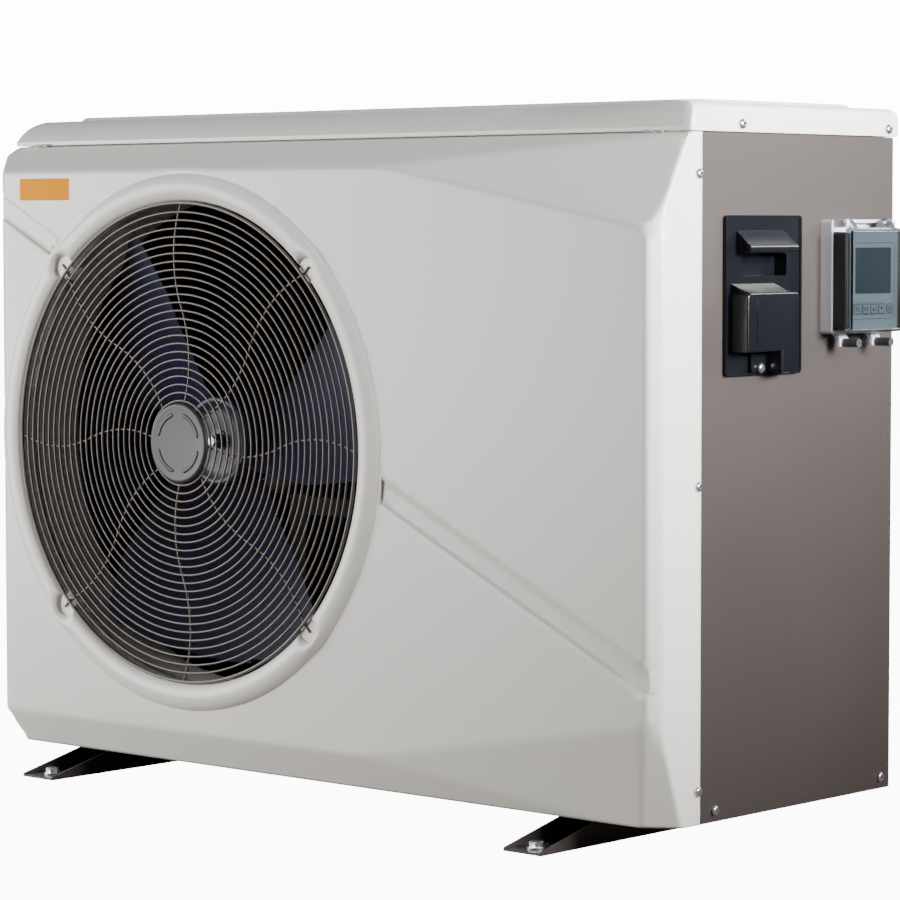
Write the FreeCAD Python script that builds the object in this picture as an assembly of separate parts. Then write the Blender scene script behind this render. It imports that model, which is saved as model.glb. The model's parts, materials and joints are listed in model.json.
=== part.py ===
import FreeCAD, Part
import math
import os

V = FreeCAD.Vector

# Frame: origin on the ground at the middle of the four anchor slots, +X to the right of
# someone facing the fan, +Y to the back, +Z up.  Millimetres.

# ---- cabinet ---------------------------------------------------------------------------
RIGHT = 479.0
LEFT = -461.0
BACK = 188.3
FACE = -188.3            # flat front of the moulded front panel
PANEL_EDGE = -119.3      # front edge of the sheet-metal side
BOTTOM = 30.0
SEAM = 680.0             # joint between the body and the top cover
COVER_TOP = 708.0
PAD_TOP = 712.5
SHEET = 1.2
PLASTIC = 3.0
GAP = 0.3                # clearance between neighbouring pieces

# ---- fan opening -----------------------------------------------------------------------
FAN_X = -148.0
FAN_Z = 368.0
MOUTH_R = 251.5
BEAD_R = 279.0
BEAD_H = 8.0
BLADE_TIP_R = 240.0
HUB_R = 48.0
HUB_FRONT = -142.0
HUB_BACK = -96.0
MOTOR_FRONT = -62.0
MOTOR_BACK = 34.0
GRILLE_Y = -191.6
WIRE_R = 1.1
RING_COUNT = 24
RING_FIRST_R = 44.0
RING_PITCH = 8.5
RIM_R = 249.0
RIM_WIRE_R = 1.8

# ---- feet ------------------------------------------------------------------------------
RAIL_X = 344.25
RAIL_W = 47.0
RAIL_HALF = 219.5
RAIL_SHEET = 2.5
ANCHOR_Y = 172.0
ANCHOR_R = 4.5
ANCHOR_SLOT = 20.0
TIP_BOLT_Y = 198.3
PAN_BOLT_Y = 90.0
BOLT_HOLE_R = 4.3

# ---- evaporator ------------------------------------------------------------------------
PARTITION_X = 132.0
COIL_DEPTH = 32.0
COIL_Y = 150.0           # inner face of the rear leg
COIL_X = -448.0          # outer face of the left leg
COIL_BEND = 40.0         # inner bend radius
COIL_LOW = 42.0
COIL_HIGH = 670.0
COIL_FRONT = -98.0
COIL_RIGHT = 124.0
FIN_PITCH = 4.0
FIN_T = 0.3
TUBE_R = 4.8
TUBE_ROWS = 12
TUBE_MARGIN = 22.0

# ---- compressor compartment ------------------------------------------------------------
COMPRESSOR = (392.0, 92.0)
COMPRESSOR_R = 58.0
COMPRESSOR_TOP = 318.0
ACCUMULATOR = (302.0, 108.0)
EXCHANGER = (214.0, -12.0)
EXCHANGER_R = 70.0
EXCHANGER_LOW = 62.0
EXCHANGER_HIGH = 462.0
INLET_Z = 130.0
OUTLET_Z = 400.0
UNION_BORE_R = 25.1
UNION_DEPTH = 32.0
UNION_END = 246.0
PIPE_R = 23.0
FLANGE_R = 34.0
VALVE = (350.0, -42.0, 440.0)

# ---- handle and terminal plate on the right side ---------------------------------------
PLATE_Y0 = -87.8
PLATE_Y1 = 31.2
PLATE_Z0 = 451.0
PLATE_Z1 = 602.5
PLATE_T = 3.0
HAND_Y0 = -62.0
HAND_Y1 = 8.0
HAND_Z0 = 545.0
HAND_Z1 = 566.0
HAND_DEPTH = 11.0
COVER_Y0 = -82.3
COVER_Y1 = -0.8
COVER_Z0 = 454.0
COVER_Z1 = 530.0
COVER_X = 505.0
COVER_SCREW = (-38.6, 458.0)
GLAND_Y = -15.0

# ---- wired controller in its weatherproof box ------------------------------------------
CTRL_Y = 111.5
CTRL_Z0 = 487.5
CTRL_Z1 = 598.5
CTRL_HALF = 44.0
CTRL_BASE_X = 492.0
CTRL_FACE_X = 509.0
LID_HALF = 46.8
LID_Z0 = 489.0
LID_Z1 = 590.5
LID_BACK_X = 510.2
LID_FRONT_X = 517.0
HINGE_X = 503.0
HINGE_Z = 595.5
HINGE_R = 2.0
DISPLAY_HALF = 30.0
DISPLAY_Z0 = 526.5
DISPLAY_Z1 = 571.5
KEY_Z = 511.7
KEY_PITCH = 13.5
KEY_SIZE = 10.3
KEY_TRAVEL = 0.5
HINGE_SPOTS = (CTRL_Y - 38.0, CTRL_Y + 38.0)
LATCH_SPOTS = (CTRL_Y - 27.0, CTRL_Y + 27.0)
LATCH_Z = CTRL_Z0 - 8.5
KNOB_R = 4.3
KEY_NAMES = ("key_function", "key_mode", "key_up", "key_down", "key_power")

AXES = {"x": V(1, 0, 0), "y": V(0, 1, 0), "z": V(0, 0, 1)}
LAYOUT = {
    "x": lambda a, b, c: V(c, a, b),
    "y": lambda a, b, c: V(a, c, b),
    "z": lambda a, b, c: V(a, b, c),
}


# ---- helpers ---------------------------------------------------------------------------
def outline(path, place):
    """Closed wire.  (u, v) ends a straight edge, (um, vm, u, v) ends an arc through um, vm."""
    edges = []
    last = path[-1][-2:]
    for step in path:
        end = step[-2:]
        if len(step) == 4:
            edges.append(Part.Arc(place(*last), place(*step[:2]), place(*end)).toShape())
        elif math.dist(last, end) > 1e-6:
            edges.append(Part.LineSegment(place(*last), place(*end)).toShape())
        last = end
    return Part.Wire(edges)


def solid_of(shape):
    if shape.Volume < 0:
        shape.reverse()
    return shape


def prism(axis, path, low, high, holes=()):
    """Outline drawn across an axis and extruded along it from low to high."""
    def place(u, v):
        return LAYOUT[axis](u, v, low)
    face = Part.Face(outline(path, place))
    if holes:
        inner = [Part.Face(outline(hole, place)) for hole in holes]
        face = face.cut(Part.makeCompound(inner)).Faces[0]
    return solid_of(face.extrude(LAYOUT[axis](0, 0, high - low)))


def rectangle(a0, b0, a1, b1, r=0.0):
    if r == 0:
        return [(a0, b0), (a1, b0), (a1, b1), (a0, b1)]
    k = r * (1 - math.sqrt(0.5))
    return [(a0 + r, b0), (a1 - r, b0), (a1 - k, b0 + k, a1, b0 + r),
            (a1, b1 - r), (a1 - k, b1 - k, a1 - r, b1),
            (a0 + r, b1), (a0 + k, b1 - k, a0, b1 - r),
            (a0, b0 + r), (a0 + k, b0 + k, a0 + r, b0)]


def slab(axis, low, high, a0, b0, a1, b1, r=0.0):
    return prism(axis, rectangle(a0, b0, a1, b1, r), low, high)


def box(x0, y0, z0, x1, y1, z1):
    return Part.makeBox(x1 - x0, y1 - y0, z1 - z0, V(x0, y0, z0))


def rod(axis, centre, low, high, r):
    """Cylinder along an axis; centre is its place across the axis."""
    return Part.makeCylinder(r, high - low, LAYOUT[axis](centre[0], centre[1], low), AXES[axis])


def circle_path(a, b, r):
    return [(a + r, b), (a, b + r, a - r, b), (a, b - r, a + r, b)]


def turned(path, axis, centre):
    """Outline of (radius, height along the axis) turned about the axis through centre."""
    def place(r, h):
        return LAYOUT[axis](centre[0] + r, centre[1], h)
    face = Part.Face(outline(path, place))
    return solid_of(face.revolve(LAYOUT[axis](centre[0], centre[1], 0), AXES[axis], 360))


def cut_beyond(shape, points):
    """Cut away everything in front of the plane through three points, away from the cabinet."""
    normal = (points[1] - points[0]).cross(points[2] - points[0]).normalize()
    inside = V((LEFT + RIGHT) / 2, 0, (BOTTOM + SEAM) / 2)
    if normal.dot(inside - points[0]) > 0:
        normal = normal * -1
    size = 3000.0
    block = Part.makeBox(size, size, size, V(-size / 2, -size / 2, 0))
    block.Placement = FreeCAD.Placement(points[0], FreeCAD.Rotation(V(0, 0, 1), normal))
    return shape.cut(block)


def moved_inwards(points, distance):
    """The same three points on the parallel plane a wall's thickness further in."""
    normal = (points[1] - points[0]).cross(points[2] - points[0]).normalize()
    inside = V((LEFT + RIGHT) / 2, 0, (BOTTOM + SEAM) / 2)
    if normal.dot(inside - points[0]) < 0:
        normal = normal * -1
    return [p + normal * distance for p in points]


def tube(points, r, bend):
    """Round bar along straight runs joined by tangent arcs."""
    corners = [V(*p) for p in points]
    edges = []
    start = corners[0]
    for before, corner, after in zip(corners, corners[1:], corners[2:]):
        back = (before - corner).normalize()
        on = (after - corner).normalize()
        half = back.getAngle(on) / 2
        reach = bend / math.tan(half)
        first = corner + back * reach
        last = corner + on * reach
        middle = (back + on).normalize()
        mid = corner + middle * (bend / math.sin(half) - bend)
        if start.distanceToPoint(first) > 1e-6:
            edges.append(Part.LineSegment(start, first).toShape())
        edges.append(Part.Arc(first, mid, last).toShape())
        start = last
    edges.append(Part.LineSegment(start, corners[-1]).toShape())
    path = Part.Wire(edges)
    direction = (corners[1] - corners[0]).normalize()
    section = Part.Wire(Part.Circle(corners[0], direction, r).toShape())
    return solid_of(path.makePipeShell([section], True, False))


def along(shape, spot, direction):
    """Place a piece built along +Z at a spot, pointing in a direction."""
    copy = shape.copy()
    copy.Placement = FreeCAD.Placement(V(*spot), FreeCAD.Rotation(V(0, 0, 1), V(*direction)))
    return copy


def pan_screw(head_r, head_h, shank_r, shank_len):
    """Cross-recess pan head on z = 0, shank below."""
    dome = [(0, 0), (head_r, 0), (head_r, head_h * 0.45),
            (head_r * 0.72, head_h * 0.9, 0, head_h)]
    screw = turned(dome, "z", (0, 0)).fuse(rod("z", (0, 0), -shank_len, 0.01, shank_r))
    slot = head_r * 0.55
    wide = head_r * 0.14
    for cross in (box(-slot, -wide, head_h * 0.5, slot, wide, head_h + 1),
                  box(-wide, -slot, head_h * 0.5, wide, slot, head_h + 1)):
        screw = screw.cut(cross)
    return screw


def hex_bolt(across, head_h, shank_r, shank_len):
    """Hexagon head with a washer on z = 0, shank below."""
    side = across / math.sqrt(3)
    corners = [(side * math.cos(math.radians(60 * i)), side * math.sin(math.radians(60 * i)))
               for i in range(6)]
    washer = rod("z", (0, 0), 0, 1.6, across * 0.75)
    head = prism("z", corners, 1.5, head_h + 1.6)
    return washer.fuse([head, rod("z", (0, 0), -shank_len, 0.1, shank_r)])


def drilled(shape, axis, spots, r, low, high):
    return shape.cut(Part.makeCompound([rod(axis, spot, low, high, r) for spot in spots]))


def joined(pieces):
    """Neighbouring pieces of one moulding, made one solid."""
    return pieces[0].fuse(pieces[1:]).removeSplitter()


# ---- fixing places ---------------------------------------------------------------------
SIDE_SCREWS = [(PANEL_EDGE - 5.0, 641.0), (PANEL_EDGE - 5.0, 349.0), (PANEL_EDGE - 4.0, 62.0)]
COVER_SCREWS = [(-63.0, 688.3), (175.0, 688.0)]
BASE_SCREWS = [(-97.5, 41.0), (172.0, 41.5)]
BACK_SCREWS = [(160.0, 660.0), (450.0, 660.0), (160.0, 50.0), (450.0, 50.0)]
SCREW_R = 2.1
HOLE_R = 2.3


def side_spots(spots, x):
    return [(x, y, z) for y, z in spots]


# ---- feet and base ---------------------------------------------------------------------
def foot_rail(x):
    half = RAIL_W / 2
    outer = box(x - half, -RAIL_HALF, 0, x + half, RAIL_HALF, BOTTOM)
    inner = box(x - half + RAIL_SHEET, -RAIL_HALF - 1, RAIL_SHEET,
                x + half - RAIL_SHEET, RAIL_HALF + 1, BOTTOM + 1)
    rail = outer.cut(inner)
    full = 108.0
    lip = 3.5
    for side in (-1, 1):
        wedge = prism("x", [(side * full, BOTTOM + 1), (side * full, BOTTOM),
                            (side * RAIL_HALF, lip), (side * (RAIL_HALF + 1), lip),
                            (side * (RAIL_HALF + 1), BOTTOM + 1)], x - half - 1, x + half + 1)
        rail = rail.cut(wedge)
    bridges = [box(x - half + 1, y - 18, BOTTOM - RAIL_SHEET, x + half - 1, y + 18, BOTTOM)
               for y in (-PAN_BOLT_Y, PAN_BOLT_Y)]
    rail = rail.fuse(bridges).removeSplitter()
    rail = drilled(rail, "z", [(x, -PAN_BOLT_Y), (x, PAN_BOLT_Y)], BOLT_HOLE_R, BOTTOM - 5, BOTTOM + 1)
    rail = drilled(rail, "z", [(x, -TIP_BOLT_Y), (x, TIP_BOLT_Y)], BOLT_HOLE_R, -1, RAIL_SHEET + 1)
    run = ANCHOR_SLOT / 2
    slots = [slab("z", -1, RAIL_SHEET + 1, x - run, y - ANCHOR_R, x + run, y + ANCHOR_R,
                  ANCHOR_R - 0.001) for y in (-ANCHOR_Y, ANCHOR_Y)]
    return rail.cut(Part.makeCompound(slots))


def foot_bolts():
    """Bolts through the rail tips and through the base pan into the rails."""
    tip = hex_bolt(13.0, 5.3, 4.0, RAIL_SHEET - 0.2)
    pan = hex_bolt(13.0, 5.3, 4.0, 14.0)
    bolts = []
    for x in (-RAIL_X, RAIL_X):
        bolts += [along(tip, (x, y, RAIL_SHEET), (0, 0, 1)) for y in (-TIP_BOLT_Y, TIP_BOLT_Y)]
        bolts += [along(pan, (x, y, BOTTOM + SHEET), (0, 0, 1)) for y in (-PAN_BOLT_Y, PAN_BOLT_Y)]
    return Part.makeCompound(bolts)


PAN_FRONT = -113.0
DRAIN_SPOT = (-240.0, 80.0)


def base_pan():
    edge = SHEET + GAP
    x0 = LEFT + edge
    x1 = RIGHT - edge
    y1 = BACK - edge
    rim = BOTTOM + 28
    pan = box(x0, PAN_FRONT, BOTTOM, x1, y1, rim)
    pan = pan.cut(box(x0 + SHEET, PAN_FRONT + SHEET, BOTTOM + SHEET, x1 - SHEET, y1 - SHEET, rim + 1))
    beads = [slab("z", BOTTOM + SHEET - 0.1, BOTTOM + 5, x, -60, x + 26, 110, 12)
             for x in (-300.0, -60.0, 50.0)]
    pan = pan.fuse(beads).removeSplitter()
    pan = drilled(pan, "z", [(x, y) for x in (-RAIL_X, RAIL_X) for y in (-PAN_BOLT_Y, PAN_BOLT_Y)],
                  BOLT_HOLE_R, BOTTOM - 1, BOTTOM + 3)
    pan = drilled(pan, "z", [DRAIN_SPOT], 9.3, BOTTOM - 1, BOTTOM + 3)
    pan = drilled(pan, "y", BACK_SCREWS, HOLE_R, BACK - 6, BACK)
    return drilled(pan, "x", BASE_SCREWS, HOLE_R, RIGHT - 6, RIGHT)


def drain_nozzle():
    top = BOTTOM + SHEET
    profile = [(6.0, 8.0), (8.0, 8.0), (8.0, 26.0), (9.0, 26.0), (9.0, BOTTOM - 0.01),
               (9.0, top), (14.0, top), (14.0, top + 2.0), (6.0, top + 2.0)]
    return turned(profile, "z", DRAIN_SPOT)


# ---- moulded front panel ---------------------------------------------------------------
CHAMFER_TOP = [V(LEFT, FACE, 651.0), V(RIGHT, FACE, 651.0), V(LEFT, -138.3, SEAM)]
CHAMFER_LOW = [V(LEFT, FACE, 65.0), V(RIGHT, FACE, 65.0), V(LEFT, -170.3, BOTTOM)]
FACET_TOP = [V(139.0, FACE, 650.0), V(469.6, FACE, 589.0), V(RIGHT, -138.8, SEAM)]
FACET_LOW = [V(131.0, FACE, 68.0), V(466.2, FACE, 126.4), V(448.0, -169.3, BOTTOM)]
CORNER_LOW = [V(466.2, FACE, 126.4), V(448.0, -169.3, BOTTOM), V(RIGHT, -147.3, BOTTOM)]
BEVEL_RIGHT = [V(469.0, FACE, 0), V(469.0, FACE, 100), V(RIGHT, -174.3, 0)]
BEVEL_LEFT = [V(LEFT + 31, FACE, 0), V(LEFT + 31, FACE, 100), V(LEFT, -154.3, 0)]
CORNER_LEFT = [V(LEFT, -154.3, 66.0), V(LEFT + 31, FACE, 66.0), V(LEFT, -122.0, BOTTOM)]
FACET_PLANES = [CHAMFER_TOP, CHAMFER_LOW, FACET_TOP, FACET_LOW, CORNER_LOW, BEVEL_RIGHT,
                BEVEL_LEFT, CORNER_LEFT]
BAND_DROP = 24.5
BAND_RIGHT = [(131.0, 344.5), (484.0, 174.5)]
BAND_LEFT = [(-434.0, 627.5), (-334.0, 577.5)]
BAND_DEPTH = 2.5
NOTCH_R = 12.0
NOTCH_AT_R = 256.0


def faceted(shape, inset):
    for plane in FACET_PLANES:
        shape = cut_beyond(shape, moved_inwards(plane, inset))
    return shape


def band_prism(ends, low, high, grow):
    (xa, za), (xb, zb) = ends
    return prism("y", [(xa, za + grow), (xb, zb + grow), (xb, zb - BAND_DROP - grow),
                       (xa, za - BAND_DROP - grow)], low, high)


def notch_spots():
    return [(FAN_X + sx * NOTCH_AT_R * math.sqrt(0.5), FAN_Z + sz * NOTCH_AT_R * math.sqrt(0.5))
            for sx in (-1, 1) for sz in (-1, 1)]


def front_panel():
    t = PLASTIC
    outer = faceted(box(LEFT, FACE, BOTTOM, RIGHT, PANEL_EDGE, SEAM), 0)
    inner = faceted(box(LEFT + t, FACE + t, BOTTOM + t, RIGHT - t, PANEL_EDGE + 1, SEAM - t), t)
    inner = inner.cut(box(LEFT, FACE + t - 1, BOTTOM, RIGHT, FACE + t, SEAM))
    backing = [band_prism(ends, FACE + t - 0.5, FACE + t + BAND_DEPTH, 3) for ends in
               (BAND_RIGHT, BAND_LEFT)]
    panel = outer.cut(inner).fuse([b.common(outer) for b in backing])
    groove = [band_prism(ends, FACE - 1, FACE + BAND_DEPTH, 0) for ends in (BAND_RIGHT, BAND_LEFT)]
    panel = panel.cut(Part.makeCompound(groove))
    panel = panel.cut(rod("y", (FAN_X, FAN_Z), FACE - 5, FACE + 12, BEAD_R - 3))
    bead = [(BEAD_R, FACE), (265.5, FACE - BEAD_H, MOUTH_R, FACE), (MOUTH_R, FACE + 20),
            (MOUTH_R + 3, FACE + 20), (MOUTH_R + 3, FACE + 3), (BEAD_R, FACE + 3)]
    panel = panel.fuse(turned(bead, "y", (FAN_X, FAN_Z)))
    pockets = [rod("y", spot, FACE - BEAD_H - 2, FACE + 1.0, NOTCH_R) for spot in notch_spots()]
    panel = panel.cut(Part.makeCompound(pockets))
    panel = drilled(panel, "x", SIDE_SCREWS, HOLE_R, RIGHT - 8, RIGHT + 1)
    return drilled(panel, "x", SIDE_SCREWS, HOLE_R, LEFT - 1, LEFT + 8)


# ---- top cover -------------------------------------------------------------------------
COVER_OVER = 3.0
COVER_LIP_FRONT = -138.6
COVER_BACK = BACK + 5.0
PAD_INSET = 30.0
RISE_START = 289.0
# Facet where the front of the cover steepens towards its right corner.
COVER_RISE = [V(RISE_START, COVER_LIP_FRONT, SEAM + 1), V(447.0, -117.0, COVER_TOP),
              V(RIGHT + COVER_OVER, -135.5, COVER_TOP - 2)]


def cover_block(inset):
    """Outer shape of the cover, shrunk by inset on every side but the open bottom."""
    x0 = LEFT - COVER_OVER + inset
    x1 = RIGHT + COVER_OVER - inset
    front = COVER_LIP_FRONT + inset
    top = COVER_TOP - inset
    crest = -101.0 + inset * 0.5
    path = [(front, SEAM), (front, SEAM + 5 - inset * 0.4), (-121.0 + inset, 700.0 - inset, crest, top),
            (COVER_BACK - inset, top), (COVER_BACK - inset, SEAM)]
    profile = prism("x", path, x0, x1)
    shoulder = 9.0
    for x, side in ((x0, 1), (x1, -1)):
        wedge = prism("y", [(x - side, top - shoulder), (x, top - shoulder),
                            (x + side * shoulder * 0.3, top - shoulder * 0.3, x + side * shoulder, top),
                            (x + side * shoulder, top + 1), (x - side, top + 1)],
                      front - 1, COVER_BACK + 1)
        profile = profile.cut(wedge)
    wedge = box(RISE_START, front, SEAM, x1, -100.0, top)
    wedge = cut_beyond(wedge, moved_inwards(COVER_RISE, inset))
    return profile.fuse(wedge).removeSplitter()


def top_cover():
    shell = cover_block(0).cut(cover_block(PLASTIC))
    shell = shell.cut(box(LEFT - 9, COVER_LIP_FRONT + PLASTIC, SEAM - 1, RIGHT + 9, BACK + 2, SEAM + 0.2))
    rim = 8.0
    x0 = LEFT + PAD_INSET
    x1 = RIGHT - PAD_INSET
    y0 = -85.0
    y1 = BACK - 14.0
    pad = slab("z", COVER_TOP - 1, PAD_TOP, x0, y0, x1, y1, 26.0)
    pad = pad.makeChamfer(3.5, [e for e in pad.Edges
                                if e.BoundBox.ZMin > PAD_TOP - 0.1])
    well = slab("z", COVER_TOP - 4, PAD_TOP - PLASTIC, x0 + rim, y0 + rim, x1 - rim, y1 - rim, 20.0)
    shell = shell.fuse(pad).cut(well)
    for x in (LEFT - COVER_OVER, RIGHT + COVER_OVER - PLASTIC):
        shell = drilled(shell, "x", COVER_SCREWS, HOLE_R, x - 1, x + PLASTIC + 1)
    return shell


# ---- sheet-metal cabinet ---------------------------------------------------------------
def side_panel_right():
    flange = 14.0
    panel = box(RIGHT - SHEET, PANEL_EDGE, BOTTOM, RIGHT, BACK, SEAM)
    front = box(RIGHT - flange, PANEL_EDGE, BOTTOM + 40, RIGHT, PANEL_EDGE + SHEET, SEAM - 10)
    back = box(RIGHT - flange, BACK - SHEET, BOTTOM, RIGHT, BACK, SEAM)
    top = box(RIGHT - flange, PANEL_EDGE + 20, SEAM - SHEET, RIGHT, BACK - 20, SEAM)
    panel = joined([panel, front, back, top])
    window = [(PLATE_Y0 + 8, PLATE_Z0 + 8), (PLATE_Y1 - 8, PLATE_Z0 + 8),
              (PLATE_Y1 - 8, PLATE_Z1 - 8), (PLATE_Y0 + 8, PLATE_Z1 - 8)]
    panel = panel.cut(prism("x", window, RIGHT - 5, RIGHT + 1))
    return drilled(panel, "x", BASE_SCREWS, HOLE_R, RIGHT - 4, RIGHT + 1)


REAR_X0 = PARTITION_X + 4


def rear_panel():
    x1 = RIGHT - 14.0 - GAP
    y0 = BACK - SHEET
    holes = [circle_path(EXCHANGER[0], z, PIPE_R + 2.0) for z in (INLET_Z, OUTLET_Z)]
    sheet = prism("y", rectangle(REAR_X0, BOTTOM, x1, SEAM - GAP), y0, BACK, holes)
    fold = box(REAR_X0, y0 - 12, BOTTOM + 30, REAR_X0 + SHEET, BACK, SEAM - 12)
    top = box(REAR_X0 + 3, y0 - 12, SEAM - GAP - SHEET, x1 - 3, BACK, SEAM - GAP)
    sheet = joined([sheet, fold, top])
    return drilled(sheet, "y", BACK_SCREWS, HOLE_R, y0 - 1, BACK + 1)


def corner_post():
    x0 = LEFT
    size = 26.0
    post = box(x0, BACK - size, BOTTOM, x0 + SHEET, BACK, SEAM)
    return joined([post, box(x0, BACK - SHEET, BOTTOM, x0 + size, BACK, SEAM)])


def grid_holes(a0, b0, a1, b1, columns, rows, bar):
    """Rectangular windows of a moulded guard, evenly spaced between its borders."""
    step_a = (a1 - a0 + bar) / columns
    step_b = (b1 - b0 + bar) / rows
    return [rectangle(a0 + i * step_a, b0 + j * step_b,
                      a0 + (i + 1) * step_a - bar, b0 + (j + 1) * step_b - bar)
            for i in range(columns) for j in range(rows)]


GUARD_T = 3.0
GUARD_BORDER = 12.0


def coil_guard_rear():
    x0 = LEFT + 26.0 + GAP
    x1 = REAR_X0 - GAP
    z0 = BOTTOM + 30.0
    z1 = SEAM - GAP
    b = GUARD_BORDER
    holes = grid_holes(x0 + b, z0 + b, x1 - b, z1 - b, 24, 26, 3.0)
    return prism("y", rectangle(x0, z0, x1, z1), BACK - GUARD_T, BACK, holes)


def coil_guard_left():
    y0 = PANEL_EDGE + GAP
    y1 = BACK - 26.0 - GAP
    z0 = BOTTOM + 30.0
    z1 = SEAM - GAP
    b = GUARD_BORDER
    holes = grid_holes(y0 + b, z0 + b, y1 - b, z1 - b, 12, 26, 3.0)
    return prism("x", rectangle(y0, z0, y1, z1), LEFT, LEFT + GUARD_T, holes)


def partition_panel():
    x = PARTITION_X
    sheet = box(x, PAN_FRONT + 2, BOTTOM + SHEET + GAP, x + SHEET, COIL_Y - 4, SEAM - 8)
    foot = box(x, PAN_FRONT + 2, BOTTOM + SHEET + GAP, x + 16, COIL_Y - 4, BOTTOM + 2 * SHEET + GAP)
    front = box(x, PAN_FRONT + 2, BOTTOM + SHEET + GAP, x + 16, PAN_FRONT + 2 + SHEET, SEAM - 8)
    return joined([sheet, foot, front])


# ---- evaporator ------------------------------------------------------------------------
def coil_path():
    """Stations along the middle of the L-shaped coil: place and outward normal."""
    mid = COIL_BEND + COIL_DEPTH / 2
    xc = COIL_X + COIL_DEPTH + COIL_BEND
    yc = COIL_Y - COIL_BEND
    straight = COIL_RIGHT - xc
    arc = mid * math.pi / 2
    side = yc - COIL_FRONT
    count = int((straight + arc + side) / FIN_PITCH)
    for i in range(count + 1):
        s = i * FIN_PITCH
        if s <= straight:
            yield (COIL_RIGHT - s, yc + mid), (0.0, 1.0)
        elif s <= straight + arc:
            angle = (s - straight) / mid
            n = (-math.sin(angle), math.cos(angle))
            yield (xc + n[0] * mid, yc + n[1] * mid), n
        else:
            yield (xc - mid, yc - (s - straight - arc)), (-1.0, 0.0)


def evaporator_fins():
    """Upright fins on one thin sheet through their middle."""
    reach = COIL_DEPTH / 2
    half = FIN_T / 2
    sides = {1: [], -1: []}
    for (x, y), (nx, ny) in coil_path():
        tx = -ny * half
        ty = nx * half
        for side in (1, -1):
            root = side * half
            tip = side * reach
            sides[side] += [(x - tx + nx * root, y - ty + ny * root),
                            (x - tx + nx * tip, y - ty + ny * tip),
                            (x + tx + nx * tip, y + ty + ny * tip),
                            (x + tx + nx * root, y + ty + ny * root)]
    return prism("z", sides[1] + sides[-1][::-1], COIL_LOW, COIL_HIGH)


def tube_levels():
    pitch = (COIL_HIGH - COIL_LOW - 2 * TUBE_MARGIN) / (2 * TUBE_ROWS - 1)
    return [COIL_LOW + TUBE_MARGIN + i * pitch for i in range(2 * TUBE_ROWS)]


def tube_sheets():
    y0 = COIL_Y - 1
    y1 = COIL_Y + COIL_DEPTH + 1
    x = COIL_RIGHT + 1.5
    levels = tube_levels()
    right = prism("x", rectangle(y0, COIL_LOW - 4, y1, COIL_HIGH + 4), x, x + 1.5,
                  [circle_path(COIL_Y + COIL_DEPTH / 2, z, TUBE_R + 0.2) for z in levels])
    x0 = COIL_X - 1
    x1 = COIL_X + COIL_DEPTH + 1
    y = COIL_FRONT - 3.0
    left = prism("y", rectangle(x0, COIL_LOW - 4, x1, COIL_HIGH + 4), y, y + 1.5,
                 [circle_path(COIL_X + COIL_DEPTH / 2, z, TUBE_R + 0.2) for z in levels])
    return Part.makeCompound([right, left])


def hairpin(start, out, low, high):
    reach = 11.0 + (high - low) / 2
    x, y = start
    dx, dy = out
    tip = (x + dx * reach, y + dy * reach)
    points = [(x, y, low), (tip[0], tip[1], low), (tip[0], tip[1], high), (x, y, high)]
    return tube(points, TUBE_R, (high - low) / 2 - 0.5)


def evaporator_tubes():
    levels = tube_levels()
    mid = COIL_DEPTH / 2
    right = (COIL_RIGHT + 0.4, COIL_Y + mid)
    left = (COIL_X + mid, COIL_FRONT - 0.8)
    pins = [hairpin(right, (1, 0), levels[i], levels[i + 1]) for i in range(1, 2 * TUBE_ROWS - 1, 2)]
    pins += [hairpin(left, (0, -1), levels[i], levels[i + 1]) for i in range(0, 2 * TUBE_ROWS, 2)]
    return Part.makeCompound(pins)


# ---- fan -------------------------------------------------------------------------------
def fan_shroud():
    profile = [(MOUTH_R + 3.4, FACE + 3.4), (BEAD_R - 4, FACE + 3.4), (BEAD_R - 4, FACE + 5.4),
               (MOUTH_R + 5.4, FACE + 5.4), (MOUTH_R + 5.4, -112.0),
               (MOUTH_R + 8.0, -103.5, MOUTH_R + 15.0, -98.5), (MOUTH_R + 15.0, -96.5),
               (MOUTH_R + 6.2, -102.0, MOUTH_R + 3.4, -112.0)]
    return turned(profile, "y", (FAN_X, FAN_Z))


BLADE_STATIONS = [(26.0, 92.0, 40.0, 0.0), (90.0, 142.0, 33.0, 10.0), (160.0, 214.0, 27.0, 26.0),
                  (236.0, 268.0, 22.0, 52.0)]
BLADE_T = 3.0
BLADE_MID_Y = -118.0


def blade_section(r, chord, pitch, sweep):
    """Thin cambered section across the blade at one radius; blade points along +X."""
    a = math.radians(pitch)
    steps = 6
    upper = []
    lower = []
    for i in range(steps + 1):
        u = i / steps
        s = (u - 0.5) * chord
        camber = chord * 0.05 * (1 - (2 * u - 1) ** 2)
        thick = BLADE_T / 2 * math.sqrt(max(0.0, 1 - (2 * u - 1) ** 4)) + 0.35
        for points, side in ((upper, 1), (lower, -1)):
            across = camber + side * thick
            z = s * math.cos(a) - across * math.sin(a) + sweep
            y = BLADE_MID_Y + s * math.sin(a) + across * math.cos(a)
            points.append(V(r, y, z))
    loop = upper + lower[::-1]
    return Part.makePolygon(loop + [loop[0]])


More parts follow.
